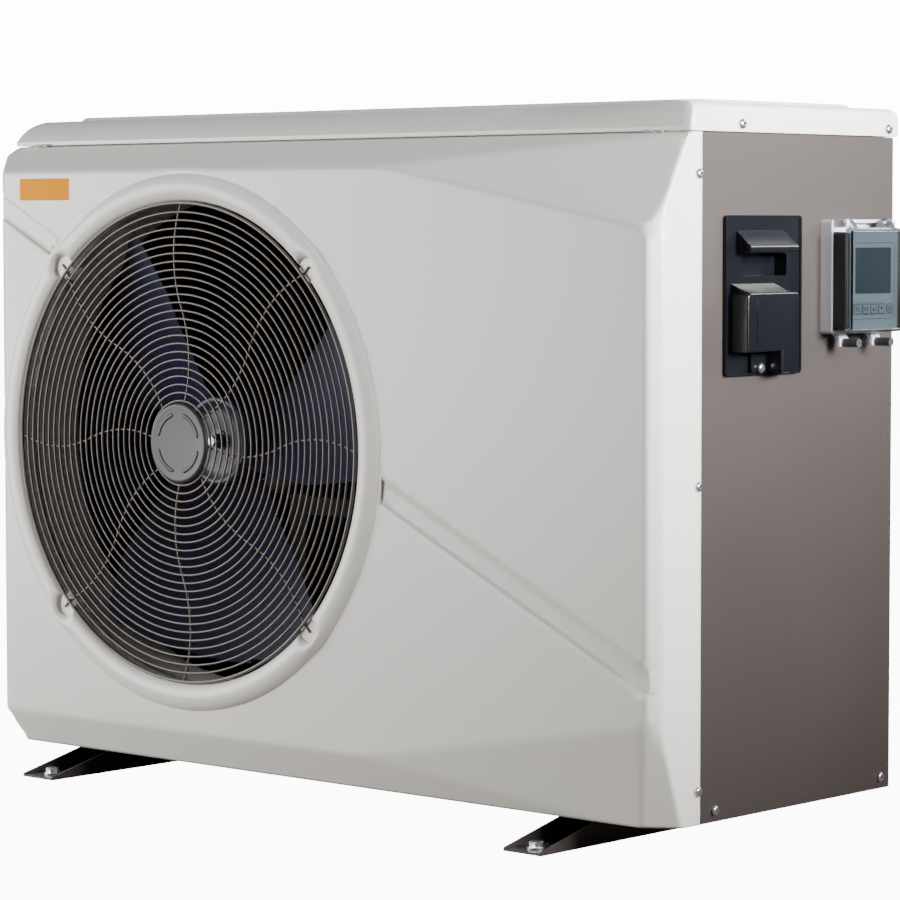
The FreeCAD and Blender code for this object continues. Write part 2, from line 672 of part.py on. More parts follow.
def fan_rotor():
    blade = Part.makeLoft([blade_section(*station) for station in BLADE_STATIONS], True, False)
    blade = solid_of(blade)
    swept = Part.makeCylinder(BLADE_TIP_R, 200, V(0, -220, 0), V(0, 1, 0))
    blade = blade.common(swept)
    hub = [(5.1, HUB_FRONT + 6), (HUB_R - 10, HUB_FRONT + 6), (HUB_R - 8, HUB_FRONT),
           (HUB_R - 4, HUB_FRONT), (HUB_R - 1, HUB_FRONT + 1, HUB_R, HUB_FRONT + 5),
           (HUB_R, HUB_BACK), (HUB_R - 3, HUB_BACK), (HUB_R - 3, HUB_FRONT + 12),
           (12.0, HUB_FRONT + 12), (12.0, HUB_BACK + 6), (5.1, HUB_BACK + 6)]
    core = turned(hub, "y", (0, 0))
    blades = []
    keep_out = Part.makeCylinder(HUB_R - 1, 200, V(0, -220, 0), V(0, 1, 0))
    blade = blade.cut(keep_out)
    for i in range(3):
        one = blade.copy()
        one.rotate(V(0, 0, 0), V(0, 1, 0), 120.0 * i - 10.0)
        blades.append(one)
    rotor = core.fuse(blades)
    rotor.translate(V(FAN_X, 0, FAN_Z))
    return rotor


def fan_shaft():
    shaft = rod("y", (FAN_X, FAN_Z), HUB_FRONT - 6, MOTOR_FRONT - 2.0, 5.0)
    return shaft.fuse(rod("y", (FAN_X, FAN_Z), MOTOR_FRONT - 2.0, MOTOR_FRONT + 20, 5.0))


def fan_nut():
    side = 8.5
    corners = [(FAN_X + side * math.cos(math.radians(60 * i)),
                FAN_Z + side * math.sin(math.radians(60 * i))) for i in range(6)]
    nut = prism("y", corners, HUB_FRONT - 4, HUB_FRONT + 6)
    washer = rod("y", (FAN_X, FAN_Z), HUB_FRONT + 4, HUB_FRONT + 6, 12.0)
    return nut.fuse(washer).cut(rod("y", (FAN_X, FAN_Z), HUB_FRONT - 9, HUB_FRONT + 9, 5.0))


MOTOR_R = 62.0
MOTOR_EAR = 16.0
BRACKET_X = 52.0
BRACKET_W = 24.0


def fan_motor():
    bore = 5.06
    can = [(bore, MOTOR_FRONT), (22, MOTOR_FRONT), (22, MOTOR_FRONT + 8), (MOTOR_R - 12, MOTOR_FRONT + 12),
           (MOTOR_R - 3, MOTOR_FRONT + 15, MOTOR_R, MOTOR_FRONT + 24), (MOTOR_R, MOTOR_BACK - 12),
           (MOTOR_R - 12, MOTOR_BACK), (0, MOTOR_BACK), (0, MOTOR_FRONT + 21), (bore, MOTOR_FRONT + 21)]
    motor = turned(can, "y", (FAN_X, FAN_Z))
    flange = [box(FAN_X + sx * BRACKET_X - 11, MOTOR_BACK - MOTOR_EAR, FAN_Z + sz * 46 - 9,
                  FAN_X + sx * BRACKET_X + 11, MOTOR_BACK, FAN_Z + sz * 46 + 9)
              for sx in (-1, 1) for sz in (-1, 1)]
    motor = motor.fuse(flange).removeSplitter()
    return drilled(motor, "y", motor_screw_spots(), 2.7, MOTOR_BACK - MOTOR_EAR - 2, MOTOR_BACK + 1)


def motor_screw_spots():
    return [(FAN_X + sx * BRACKET_X, FAN_Z + sz * 46) for sx in (-1, 1) for sz in (-1, 1)]


def motor_screws():
    screw = pan_screw(5.0, 3.2, 2.5, MOTOR_EAR + 8.0)
    return Part.makeCompound([along(screw, (x, MOTOR_BACK - MOTOR_EAR, z), (0, -1, 0))
                              for x, z in motor_screw_spots()])


def motor_bracket():
    """Two upright channels from the base pan to the top, tied by cross plates."""
    y0 = MOTOR_BACK
    low = BOTTOM + SHEET
    high = SEAM - 6
    t = 1.5
    pieces = []
    for sx in (-1, 1):
        x = FAN_X + sx * BRACKET_X
        pieces += [box(x - BRACKET_W / 2, y0, low, x + BRACKET_W / 2, y0 + t, high),
                   box(x + sx * BRACKET_W / 2 - (t if sx > 0 else 0), y0, low,
                       x + sx * BRACKET_W / 2 + (0 if sx > 0 else t), y0 + 14, high)]
    for z in (low, FAN_Z - 90, FAN_Z + 90, high - 20):
        pieces.append(box(FAN_X - BRACKET_X, y0, z, FAN_X + BRACKET_X, y0 + t, z + 20))
    bracket = joined(pieces)
    return drilled(bracket, "y", motor_screw_spots(), 2.7, y0 - 1, y0 + 3)


def ring_radii():
    return [RING_FIRST_R + RING_PITCH * i for i in range(RING_COUNT)]


SPOKE_START = 32.0
SPOKE_BULGE = 11.0
SPOKE_REACH = 260.0      # the diagonal wires end in the pockets of the bead


def spoke(angle, reach):
    """S-shaped radial wire of two equal arcs; a longer one runs on straight to its end."""
    r0 = SPOKE_START
    r1 = RIM_R
    mid = (r0 + r1) / 2

    def at(r, side):
        c = math.cos(angle)
        s = math.sin(angle)
        return V(FAN_X + r * c - side * s, GRILLE_Y + 2 * WIRE_R - 0.2, FAN_Z + r * s + side * c)
    first = Part.Arc(at(r0, 0), at((r0 + mid) / 2, -SPOKE_BULGE), at(mid, 0))
    second = Part.Arc(at(mid, 0), at((mid + r1) / 2, SPOKE_BULGE), at(r1, 0))
    wire = Part.Wire([first.toShape(), second.toShape()])
    heading = first.tangent(first.FirstParameter)[0]
    section = Part.Wire(Part.Circle(at(r0, 0), heading, WIRE_R).toShape())
    bar = solid_of(wire.makePipeShell([section], True, False))
    if reach > r1:
        run = at(reach, 0) - at(r1 - 1, 0)
        bar = bar.fuse(Part.makeCylinder(WIRE_R, run.Length, at(r1 - 1, 0), run))
    return bar


def wire_ring(r, wire_r):
    """Ring of wire; eight sides to the section keep its mesh light."""
    corners = [math.radians(22.5 + 45 * i) for i in range(8)]
    section = [(r + wire_r * math.cos(a), GRILLE_Y + wire_r * math.sin(a)) for a in corners]
    return turned(section, "y", (FAN_X, FAN_Z))


def fan_grille():
    rings = [wire_ring(r, WIRE_R) for r in ring_radii()]
    rings.append(wire_ring(RIM_R, RIM_WIRE_R))
    spokes = [spoke(math.radians(45 * i), SPOKE_REACH if i % 2 else RIM_R) for i in range(8)]
    return Part.makeCompound(rings + spokes)


CAP_R = 42.0


def grille_cap():
    front = GRILLE_Y - 5.0
    profile = [(0, front), (CAP_R - 3, front), (CAP_R - 0.8, front + 0.8, CAP_R, front + 3),
               (CAP_R, front + 3.6), (CAP_R - 4, front + 3.6), (CAP_R - 4, GRILLE_Y + 0.9),
               (0, GRILLE_Y + 0.9)]
    cap = turned(profile, "y", (FAN_X, FAN_Z))
    ridge = turned([(27.0, front - 1.0), (33.0, front - 1.0), (33.0, front + 0.5), (27.0, front + 0.5)],
                   "y", (FAN_X, FAN_Z))
    gaps = [box(-5, front - 3, 10, 5, front, 60), box(-5, front - 3, -60, 5, front, -10),
            box(10, front - 3, -5, 60, front, 5), box(-60, front - 3, -5, -10, front, 5)]
    for gap in gaps:
        gap.translate(V(FAN_X, 0, FAN_Z))
    return cap.fuse(ridge.cut(Part.makeCompound(gaps)))


def grille_clips():
    """Moulded clips behind the rim that hold the outer ring of the guard."""
    clips = []
    for i in range(4):
        clip = box(RIM_R - 4, GRILLE_Y + 3.4, -9, MOUTH_R - 0.5, FACE + 14, 9)
        clip.rotate(V(0, 0, 0), V(0, 1, 0), 45 + 90.0 * i)
        clip.translate(V(FAN_X, 0, FAN_Z))
        clips.append(clip)
    return Part.makeCompound(clips)


# ---- refrigerant circuit ---------------------------------------------------------------
def compressor():
    x, y = COMPRESSOR
    r = COMPRESSOR_R
    top = COMPRESSOR_TOP
    profile = [(0, 48), (r - 18, 48), (r - 5, 54, r, 68), (r, top - 26), (r - 5, top - 10, r - 20, top - 4),
               (0, top)]
    shell = turned(profile, "z", COMPRESSOR)
    foot = rod("z", (x, y), 50, 54, r + 4)
    ears = []
    for i in range(3):
        a = math.radians(90 + 120 * i)
        ears.append(rod("z", (x + 70 * math.cos(a), y + 70 * math.sin(a)), 50, 54, 12))
    shell = shell.fuse([foot] + ears)
    for i in range(3):
        a = math.radians(90 + 120 * i)
        shell = shell.cut(rod("z", (x + 70 * math.cos(a), y + 70 * math.sin(a)), 40, 60, 5.2))
    terminal = slab("z", top - 8, top + 14, x - 22, y - 48, x + 16, y - 16, 6)
    return shell.fuse(terminal)


def compressor_feet():
    x, y = COMPRESSOR
    feet = []
    for i in range(3):
        a = math.radians(90 + 120 * i)
        profile = [(3.2, BOTTOM + SHEET), (11, BOTTOM + SHEET), (12, 40), (11, 50), (3.2, 50)]
        feet.append(turned(profile, "z", (x + 70 * math.cos(a), y + 70 * math.sin(a))))
    return Part.makeCompound(feet)


def compressor_bolts():
    x, y = COMPRESSOR
    bolt = hex_bolt(10.0, 4.0, 3.0, 22.0)
    return Part.makeCompound([along(bolt, (x + 70 * math.cos(math.radians(90 + 120 * i)),
                                           y + 70 * math.sin(math.radians(90 + 120 * i)), 54), (0, 0, 1))
                              for i in range(3)])


def accumulator():
    profile = [(0, 96), (14, 96), (27, 102, 30, 116), (30, 262), (27, 276, 14, 282), (0, 282)]
    can = turned(profile, "z", ACCUMULATOR)
    x, y = ACCUMULATOR
    elbow = tube([(x, y, 97), (x, y, 74), (x + 36, y, 74)], 8.0, 16.0)
    return can.fuse(elbow)


def heat_exchanger():
    r = EXCHANGER_R
    low = EXCHANGER_LOW
    high = EXCHANGER_HIGH
    profile = [(r - 5, low + 6), (r, low + 6), (r, high - 6), (r - 5, high - 6)]
    tank = turned(profile, "z", EXCHANGER)
    ends = [turned([(0, low - 4), (r + 4, low - 4), (r + 4, low + 22), (r + 0.1, low + 22),
                    (r + 0.1, low + 6), (0, low + 6)], "z", EXCHANGER),
            turned([(0, high + 4), (r + 4, high + 4), (r + 4, high - 22), (r + 0.1, high - 22),
                    (r + 0.1, high - 6), (0, high - 6)], "z", EXCHANGER)]
    tank = tank.fuse([e.fuse(tank) for e in ends])
    stubs = []
    for z in (INLET_Z, OUTLET_Z):
        stub = rod("y", (EXCHANGER[0], z), EXCHANGER[1] + r - 12, 78, PIPE_R + 5)
        stubs.append(stub)
    x, y = EXCHANGER
    skirt = slab("z", BOTTOM + SHEET, low - 3, x - 45, y - 45, x + 45, y + 45, 10)
    skirt = skirt.cut(slab("z", BOTTOM, low - 8, x - 40, y - 40, x + 40, y + 40, 8))
    tank = tank.fuse(stubs + [skirt])
    hollow = rod("z", EXCHANGER, low + 8, high - 8, r - 5)
    bores = [rod("y", (EXCHANGER[0], z), EXCHANGER[1], 79, PIPE_R + 0.1) for z in (INLET_Z, OUTLET_Z)]
    return tank.cut(Part.makeCompound([hollow])).cut(Part.makeCompound(bores))


def titanium_coil():
    """Stack of turns of the refrigerant coil inside the water tank."""
    turns = 12
    pitch = 26.0
    x, y = EXCHANGER
    low = EXCHANGER_LOW + 40
    rings = [Part.makeTorus(44.0, 6.0, V(x, y, low + pitch * i), V(0, 0, 1)) for i in range(turns)]
    return Part.makeCompound(rings)


def water_pipe(z):
    y0 = 52.0
    y1 = 202.0
    profile = [(PIPE_R - 4, y0), (PIPE_R, y0), (PIPE_R, BACK + 4), (FLANGE_R, BACK + 4),
               (FLANGE_R, y1), (PIPE_R - 4, y1)]
    return turned(profile, "y", (EXCHANGER[0], z))


def union_tail(z):
    """Socket for a glued 50 mm pipe, clamped by the union nut."""
    profile = [(PIPE_R - 4, 202.3), (FLANGE_R, 202.3), (FLANGE_R, 208.0), (31.0, 208.0),
               (31.0, UNION_END), (UNION_BORE_R, UNION_END), (UNION_BORE_R, UNION_END - UNION_DEPTH),
               (PIPE_R - 4, UNION_END - UNION_DEPTH)]
    return turned(profile, "y", (EXCHANGER[0], z))


def union_nut(z):
    y0 = BACK + 4.5
    y1 = 218.0
    nut = turned([(FLANGE_R + GAP, y0), (40.0, y0), (41.0, y0 + 1, 41.0, y0 + 3), (39.0, y1),
                  (31.3, y1), (31.3, 208.3), (FLANGE_R + GAP, 208.3)], "y", (EXCHANGER[0], z))
    ribs = []
    for i in range(12):
        rib = slab("y", y0 + 2, y1 - 3, 37.0, -2.5, 43.0, 2.5, 1.2)
        rib.rotate(V(0, 0, 0), V(0, 1, 0), 30.0 * i)
        rib.translate(V(EXCHANGER[0], 0, z))
        ribs.append(rib)
    return nut.fuse(ribs)


def reversing_valve():
    x, y, z = VALVE
    body = rod("x", (y, z), x - 58, x + 58, 15.0)
    caps = [rod("x", (y, z), x - 64, x - 57, 11.0), rod("x", (y, z), x + 57, x + 64, 11.0)]
    stubs = [rod("z", (x, y), z, z + 34, 8.0)]
    stubs += [rod("z", (x + dx, y), z - 34, z, 9.0) for dx in (-30, 0, 30)]
    solenoid = slab("y", y - 44, y - 12, x - 16, z - 16, x + 16, z + 16, 4)
    return body.fuse(caps + stubs + [solenoid])


def refrigerant_pipes():
    x, y, z = VALVE
    cx, cy = COMPRESSOR
    ax, ay = ACCUMULATOR
    ex, ey = EXCHANGER
    discharge = tube([(cx, cy, COMPRESSOR_TOP + 0.2), (cx, cy, z + 56), (cx, y, z + 56), (x, y, z + 56),
                      (x, y, z + 34.2)], 5.0, 15.0)
    suction = tube([(ax, ay, 282.2), (ax, ay, 348), (x, ay, 348), (x, y, 348), (x, y, z - 34.2)], 7.0, 20.0)
    top = tube_levels()[-1]
    low = tube_levels()[0]
    back = COIL_Y + COIL_DEPTH / 2
    end = COIL_RIGHT + 0.4
    to_coil = tube([(x - 30, y, z - 34.2), (x - 30, y, 364), (x - 30, back, 364), (168, back, 364),
                    (168, back, top), (end, back, top)], TUBE_R, 14.0)
    to_tank = tube([(x + 30, y, z - 34.2), (x + 30, y, 96), (ex + EXCHANGER_R - 8.0, y, 96)], 6.0, 20.0)
    liquid = tube([(ex, ey - 20, EXCHANGER_HIGH + 4.2), (ex, ey - 20, 490), (160, ey - 20, 490),
                   (160, 112, 490), (160, 112, 330.2)], 5.0, 14.0)
    feed = tube([(160, 112, 269.8), (160, 112, low), (160, back, low), (end, back, low)], TUBE_R, 14.0)
    return Part.makeCompound([discharge, suction, to_coil, to_tank, liquid, feed])


def expansion_valve():
    body = rod("z", (160, 112), 270, 312, 9.0)
    coil = rod("z", (160, 112), 300, 330, 17.0)
    return body.fuse(coil)


def flow_switch():
    z = OUTLET_Z
    x = EXCHANGER[0]
    y = 120.0
    saddle = rod("y", (x, z), y - 14, y + 14, PIPE_R + 7)
    saddle = saddle.cut(rod("y", (x, z), y - 15, y + 15, PIPE_R + GAP))
    head = slab("z", z + PIPE_R + 5, z + PIPE_R + 45, x - 16, y - 16, x + 16, y + 16, 4)
    return saddle.fuse(head)


# ---- electrics -------------------------------------------------------------------------
EBOX_X0 = 142.0
EBOX_X1 = 440.0
EBOX_Y0 = -104.0
EBOX_Y1 = 150.0
EBOX_LOW = 524.0
EBOX_HIGH = 662.0


def electrical_box():
    outer = box(EBOX_X0, EBOX_Y0, EBOX_LOW, EBOX_X1, EBOX_Y1, EBOX_HIGH)
    inner = box(EBOX_X0 + SHEET, EBOX_Y0 + SHEET, EBOX_LOW + SHEET, EBOX_X1 - SHEET, EBOX_Y1 - SHEET,
                EBOX_HIGH + 1)
    tray = outer.cut(inner)
    ear = box(EBOX_X1, -60, EBOX_HIGH - SHEET, RIGHT - 20, 60, EBOX_HIGH)
    return tray.fuse(ear)


def control_board():
    z = EBOX_LOW + 12
    board = box(EBOX_X0 + 20, EBOX_Y0 + 20, z, EBOX_X1 - 60, EBOX_Y1 - 40, z + 1.6)
    chips = [box(EBOX_X0 + 60 + 34 * i, -60 + 26 * j, z + 1.5, EBOX_X0 + 80 + 34 * i, -44 + 26 * j, z + 8)
             for i in range(4) for j in range(4)]
    posts = [rod("z", (x, y), EBOX_LOW + SHEET, z + 0.1, 4) for x in (EBOX_X0 + 30, EBOX_X1 - 70)
             for y in (EBOX_Y0 + 30, EBOX_Y1 - 50)]
    capacitors = [rod("z", (x, 76.0), z + 1, z + 52, 15) for x in (210.0, 246.0, 282.0)]
    return board.fuse(chips + posts + capacitors)


def heat_sink():
    x1 = PARTITION_X - 0.3
    base = box(x1 - 6, -50, 548, x1, 50, 648)
    fins = [box(x1 - 34, -50 + 9.8 * i, 548, x1 - 5, -48 + 9.8 * i, 648) for i in range(11)]
    return joined([base] + fins)


# ---- handle and terminal plate ---------------------------------------------------------
def handle_plate():
    x0 = RIGHT
    x1 = RIGHT + PLATE_T

    def inside(low, high, inset, r):
        return slab("x", low, high, PLATE_Y0 + inset, PLATE_Z0 + inset,
                    PLATE_Y1 - inset, PLATE_Z1 - inset, r)
    plate = inside(x0, x1, 0, 4.0)
    rim = inside(x0, x1 + 1.2, 0, 4.0).cut(inside(x1 - 1, x1 + 2, 2.5, 3.0))
    spigot = inside(x0 - 8, x0 + 1, 9, 3.0).cut(inside(x0 - 9, x0, 12, 2.0))
    pocket = slab("x", x0 - HAND_DEPTH - 2.5, x0 + 1, HAND_Y0 - 2.5, HAND_Z0 - 2.5, HAND_Y1 + 2.5,
                  HAND_Z1 + 20, 3.0)
    lip = x0 + 20.8
    hood_path = [(x1 - 1, HAND_Z1 + 1), (lip - 1.6, HAND_Z1 + 1),
                 (lip - 0.5, HAND_Z1 + 1.5, lip, HAND_Z1 + 2.6), (lip, HAND_Z1 + 6),
                 (lip - 0.8, HAND_Z1 + 8.2, lip - 3, HAND_Z1 + 9.4), (x1 - 1, HAND_Z1 + 23)]
    hood = prism("y", hood_path, HAND_Y0 - 9, HAND_Y1 - 4)
    body = joined([plate, rim, spigot, pocket, hood])
    finger = slab("x", x0 - HAND_DEPTH, x1 + 2, HAND_Y0, HAND_Z0, HAND_Y1, HAND_Z1, 2.0)
    under = prism("y", [(x0 - HAND_DEPTH, HAND_Z1 - 4), (x0 + 17, HAND_Z1 - 4), (x0 + 17.5, HAND_Z1 + 6),
                        (x0 - 1, HAND_Z1 + 16), (x0 - HAND_DEPTH, HAND_Z1 + 16)],
                  HAND_Y0, HAND_Y1 - 8)
    body = body.cut(finger.fuse(under))
    wiring = slab("x", x0 - 9, x1 + 1, -66, 470, -16, 520, 4.0)
    body = body.cut(wiring)
    return drilled(body, "x", [COVER_SCREW], 1.9, x0 - 1, x0 + 12)


def terminal_cover():
    x0 = RIGHT + PLATE_T + GAP
    wall = 2.2
    notch_y1 = -29.0
    notch_z = 474.0
    outline_path = [(COVER_Y0, notch_z), (notch_y1, notch_z), (notch_y1, COVER_Z0), (COVER_Y1, COVER_Z0),
                    (COVER_Y1, COVER_Z1 - 5), (COVER_Y1 - 1.5, COVER_Z1 - 1.5, COVER_Y1 - 5, COVER_Z1),
                    (COVER_Y0 + 5, COVER_Z1), (COVER_Y0 + 1.5, COVER_Z1 - 1.5, COVER_Y0, COVER_Z1 - 5)]
    cover = prism("x", outline_path, x0, COVER_X)
    cover = cover.makeFillet(2.0, [e for e in cover.Edges if e.BoundBox.XMin > COVER_X - 0.1])
    roof = prism("y", [(x0, COVER_Z1 - 6), (COVER_X - 3, COVER_Z1 - 6), (COVER_X - 3, COVER_Z1),
                       (x0, COVER_Z1 + 8)], COVER_Y0 + 3, COVER_Y1 - 12)
    tab = slab("x", x0, x0 + 4, COVER_Y0 + 30, COVER_Z0, notch_y1 + 2, notch_z + 2, 2.0)
    cover = joined([cover, roof, tab])
    hollow = [(COVER_Y0 + wall, notch_z + wall), (notch_y1 + wall, notch_z + wall),
              (notch_y1 + wall, COVER_Z0 + wall), (COVER_Y1 - wall, COVER_Z0 + wall),
              (COVER_Y1 - wall, COVER_Z1 - 4), (COVER_Y0 + wall, COVER_Z1 - 4)]
    cover = cover.cut(prism("x", hollow, x0 - 1, COVER_X - wall))
    outlet = rod("z", (RIGHT + 14, GLAND_Y), COVER_Z0 - 2, COVER_Z0 + 3, 8.3)
    cover = cover.cut(outlet)
    arrow_y = COVER_Y0 + 15
    arrow = [(arrow_y - 0.7, 492), (arrow_y - 3, 492), (arrow_y, 482), (arrow_y + 3, 492),
             (arrow_y + 0.7, 492), (arrow_y + 0.7, 512), (arrow_y + 3, 512), (arrow_y, 522),
             (arrow_y - 3, 512), (arrow_y - 0.7, 512)]
    cover = cover.fuse(prism("x", arrow, COVER_X - 0.2, COVER_X + 0.5))
    return drilled(cover, "x", [COVER_SCREW], 2.4, x0 - 1, x0 + 6)


def cable_gland():
    """Rubber grommet gripping the wall under the terminal cover."""
    x = RIGHT + 14
    top = COVER_Z0
    profile = [(5.0, top - 1.2), (9.2, top - 1.2), (9.2, top - 0.3), (8.0, top - 0.3),
               (8.0, top + 3.5), (9.4, top + 3.5), (9.4, top + 7), (5.0, top + 7)]
    return turned(profile, "z", (x, GLAND_Y))


def terminal_block():
    x0 = RIGHT + PLATE_T + 0.1
    block = slab("x", x0 - 0.1, x0 + 15, -74, 482, -12, 508, 2.0)
    wells = [rod("x", (-68 + 12.4 * i, 495.0), x0 + 9, x0 + 16, 4.0) for i in range(5)]
    return block.cut(Part.makeCompound(wells))


def terminal_cover_screw():
    screw = pan_screw(4.8, 3.4, 1.8, 6.8)
    return along(screw, (RIGHT + PLATE_T + GAP + 4.0, COVER_SCREW[0], COVER_SCREW[1]), (1, 0, 0))


# ---- controller ------------------------------------------------------------------------
def key_spots():
    return [CTRL_Y + KEY_PITCH * (i - 2) for i in range(5)]


def controller_base():
    y0 = CTRL_Y - CTRL_HALF
    y1 = CTRL_Y + CTRL_HALF
    base = slab("x", RIGHT, CTRL_BASE_X, y0, CTRL_Z0, y1, CTRL_Z1, 4.0)
    base = base.cut(slab("x", RIGHT + 3, CTRL_BASE_X + 1, y0 + 3, CTRL_Z0 + 3, y1 - 3, CTRL_Z1 - 3, 2.5))
    pieces = [base]
    for y in HINGE_SPOTS:
        ear = prism("y", [(CTRL_BASE_X - 3, CTRL_Z1 - 8), (HINGE_X, HINGE_Z - 4.5),
                          (HINGE_X + 4.5, HINGE_Z, HINGE_X, HINGE_Z + 3.0), (CTRL_BASE_X - 3, CTRL_Z1)],
                    y - 3.0, y + 3.0)
        pieces.append(ear)
    for y in LATCH_SPOTS:
        tab = prism("y", [(CTRL_BASE_X - 9, CTRL_Z0 + 2), (CTRL_BASE_X, CTRL_Z0 + 2),
                          (CTRL_BASE_X + 3, CTRL_Z0 - 5), (CTRL_BASE_X + 3, CTRL_Z0 - 12),
                          (CTRL_BASE_X, CTRL_Z0 - 12), (CTRL_BASE_X, CTRL_Z0 - 6)], y - 7.0, y + 7.0)
        pieces.append(tab)
    base = joined(pieces)
    base = drilled(base, "y", [(HINGE_X, HINGE_Z)], HINGE_R + 0.05, y0, y1)
    return drilled(base, "x", [(y, LATCH_Z) for y in LATCH_SPOTS], 2.06, CTRL_BASE_X - 4, CTRL_BASE_X + 5)


def controller_body():
    half = CTRL_HALF - 3.2
    z0 = CTRL_Z0 + 4.0
    z1 = LID_Z1 - 4.0
    body = slab("x", RIGHT + 3.2, CTRL_FACE_X, CTRL_Y - half, z0, CTRL_Y + half, z1, 4.0)
    body = body.cut(slab("x", CTRL_FACE_X - 1.6, CTRL_FACE_X + 1, CTRL_Y - DISPLAY_HALF,
                         DISPLAY_Z0, CTRL_Y + DISPLAY_HALF, DISPLAY_Z1, 1.5))
    well = KEY_SIZE / 2 + 0.4
    wells = [slab("x", CTRL_FACE_X - 3.0, CTRL_FACE_X + 1, y - well, KEY_Z - well,
                  y + well, KEY_Z + well, 1.9) for y in key_spots()]
    return body.cut(Part.makeCompound(wells))


def controller_display():
    half = DISPLAY_HALF - 0.2
    return slab("x", CTRL_FACE_X - 1.6, CTRL_FACE_X - 0.2, CTRL_Y - half, DISPLAY_Z0 + 0.2,
                CTRL_Y + half, DISPLAY_Z1 - 0.2, 1.4)


def controller_key(y):
    half = KEY_SIZE / 2
    return slab("x", CTRL_FACE_X - 2.2, CTRL_FACE_X + KEY_TRAVEL, y - half, KEY_Z - half,
                y + half, KEY_Z + half, 1.6)


def controller_lid():
    y0 = CTRL_Y - LID_HALF
    y1 = CTRL_Y + LID_HALF
    bevel = 3.5
    shell = slab("x", LID_BACK_X, LID_FRONT_X, y0, LID_Z0, y1, LID_Z1, 4.0)
    shell = shell.makeChamfer(bevel, [e for e in shell.Edges if e.BoundBox.XMin > LID_FRONT_X - 0.1])
    wall = 2.2
    hollow = slab("x", LID_BACK_X - 1, LID_FRONT_X - wall, y0 + wall, LID_Z0 + wall,
                  y1 - wall, LID_Z1 - wall, 2.5)
    shell = shell.cut(hollow)
    arms = []
    for y in HINGE_SPOTS:
        side = 1 if y > CTRL_Y else -1
        a = y - side * 3.3
        b = y - side * 9.3
        path = [(LID_BACK_X, LID_Z1 - 4), (LID_BACK_X + 3, LID_Z1 - 4), (LID_BACK_X + 3, LID_Z1 - 1),
                (HINGE_X + 3.2, HINGE_Z + 3.2),
                (HINGE_X - 3.6, HINGE_Z + 0.6, HINGE_X + 1.0, HINGE_Z - 3.6)]
        arms.append(prism("y", path, min(a, b), max(a, b)))
    lid = joined([shell] + arms)
    return drilled(lid, "y", [(HINGE_X, HINGE_Z)], HINGE_R + 0.05, y0 - 1, y1 + 1)


def lid_hinge_pins():
    pins = []
    for y in HINGE_SPOTS:
        side = 1 if y > CTRL_Y else -1
        inner = y - side * 10.0
        outer = y + side * 3.6
        pins.append(rod("y", (HINGE_X, HINGE_Z), min(inner, outer), max(inner, outer), HINGE_R))
    return Part.makeCompound(pins)


def lid_latch(y):
    """Knurled turn-knob on the bottom bracket of the controller box."""
    x0 = CTRL_BASE_X + 3.3
    x1 = CTRL_BASE_X + 21.0
    knob = rod("x", (y, LATCH_Z), x0, x1, KNOB_R)
    knurls = 12
    for i in range(knurls):
        a = 2 * math.pi * i / knurls
        spot = (y + (KNOB_R + 0.3) * math.cos(a), LATCH_Z + (KNOB_R + 0.3) * math.sin(a))
        knob = knob.cut(rod("x", spot, x0 + 5, x1 - 3, 0.7))
    spindle = rod("x", (y, LATCH_Z), CTRL_BASE_X - 2.5, x0 + 0.1, 2.0)
    keeper = rod("x", (y, LATCH_Z), CTRL_BASE_X - 2.5, CTRL_BASE_X - 0.4, 2.9)
    slot = box(x1 - 1.2, y - 2.6, LATCH_Z - 0.4, x1 + 1, y + 2.6, LATCH_Z + 0.4)
    return knob.fuse([spindle, keeper]).cut(slot)


# ---- small pieces ----------------------------------------------------------------------
def cabinet_screws():
    screw = pan_screw(4.9, 3.3, SCREW_R, 7.0)
    spots = []
    for x, way in ((RIGHT, 1), (LEFT, -1)):
        spots += [(spot, way) for spot in side_spots(SIDE_SCREWS, x)]
        spots += [(spot, way) for spot in side_spots(COVER_SCREWS, x + way * COVER_OVER)]
    spots += [(spot, 1) for spot in side_spots(BASE_SCREWS, RIGHT)]
    screws = [along(screw, spot, (way, 0, 0)) for spot, way in spots]
    screws += [along(screw, (x, BACK, z), (0, 1, 0)) for x, z in BACK_SCREWS]
    screws.append(terminal_cover_screw())
    return Part.makeCompound(screws)


def warning_label():
    x0 = -401.0
    z1 = 644.0
    return slab("y", FACE - 0.25, FACE, x0, z1 - 23.5, x0 + 79.0, z1, 1.5)


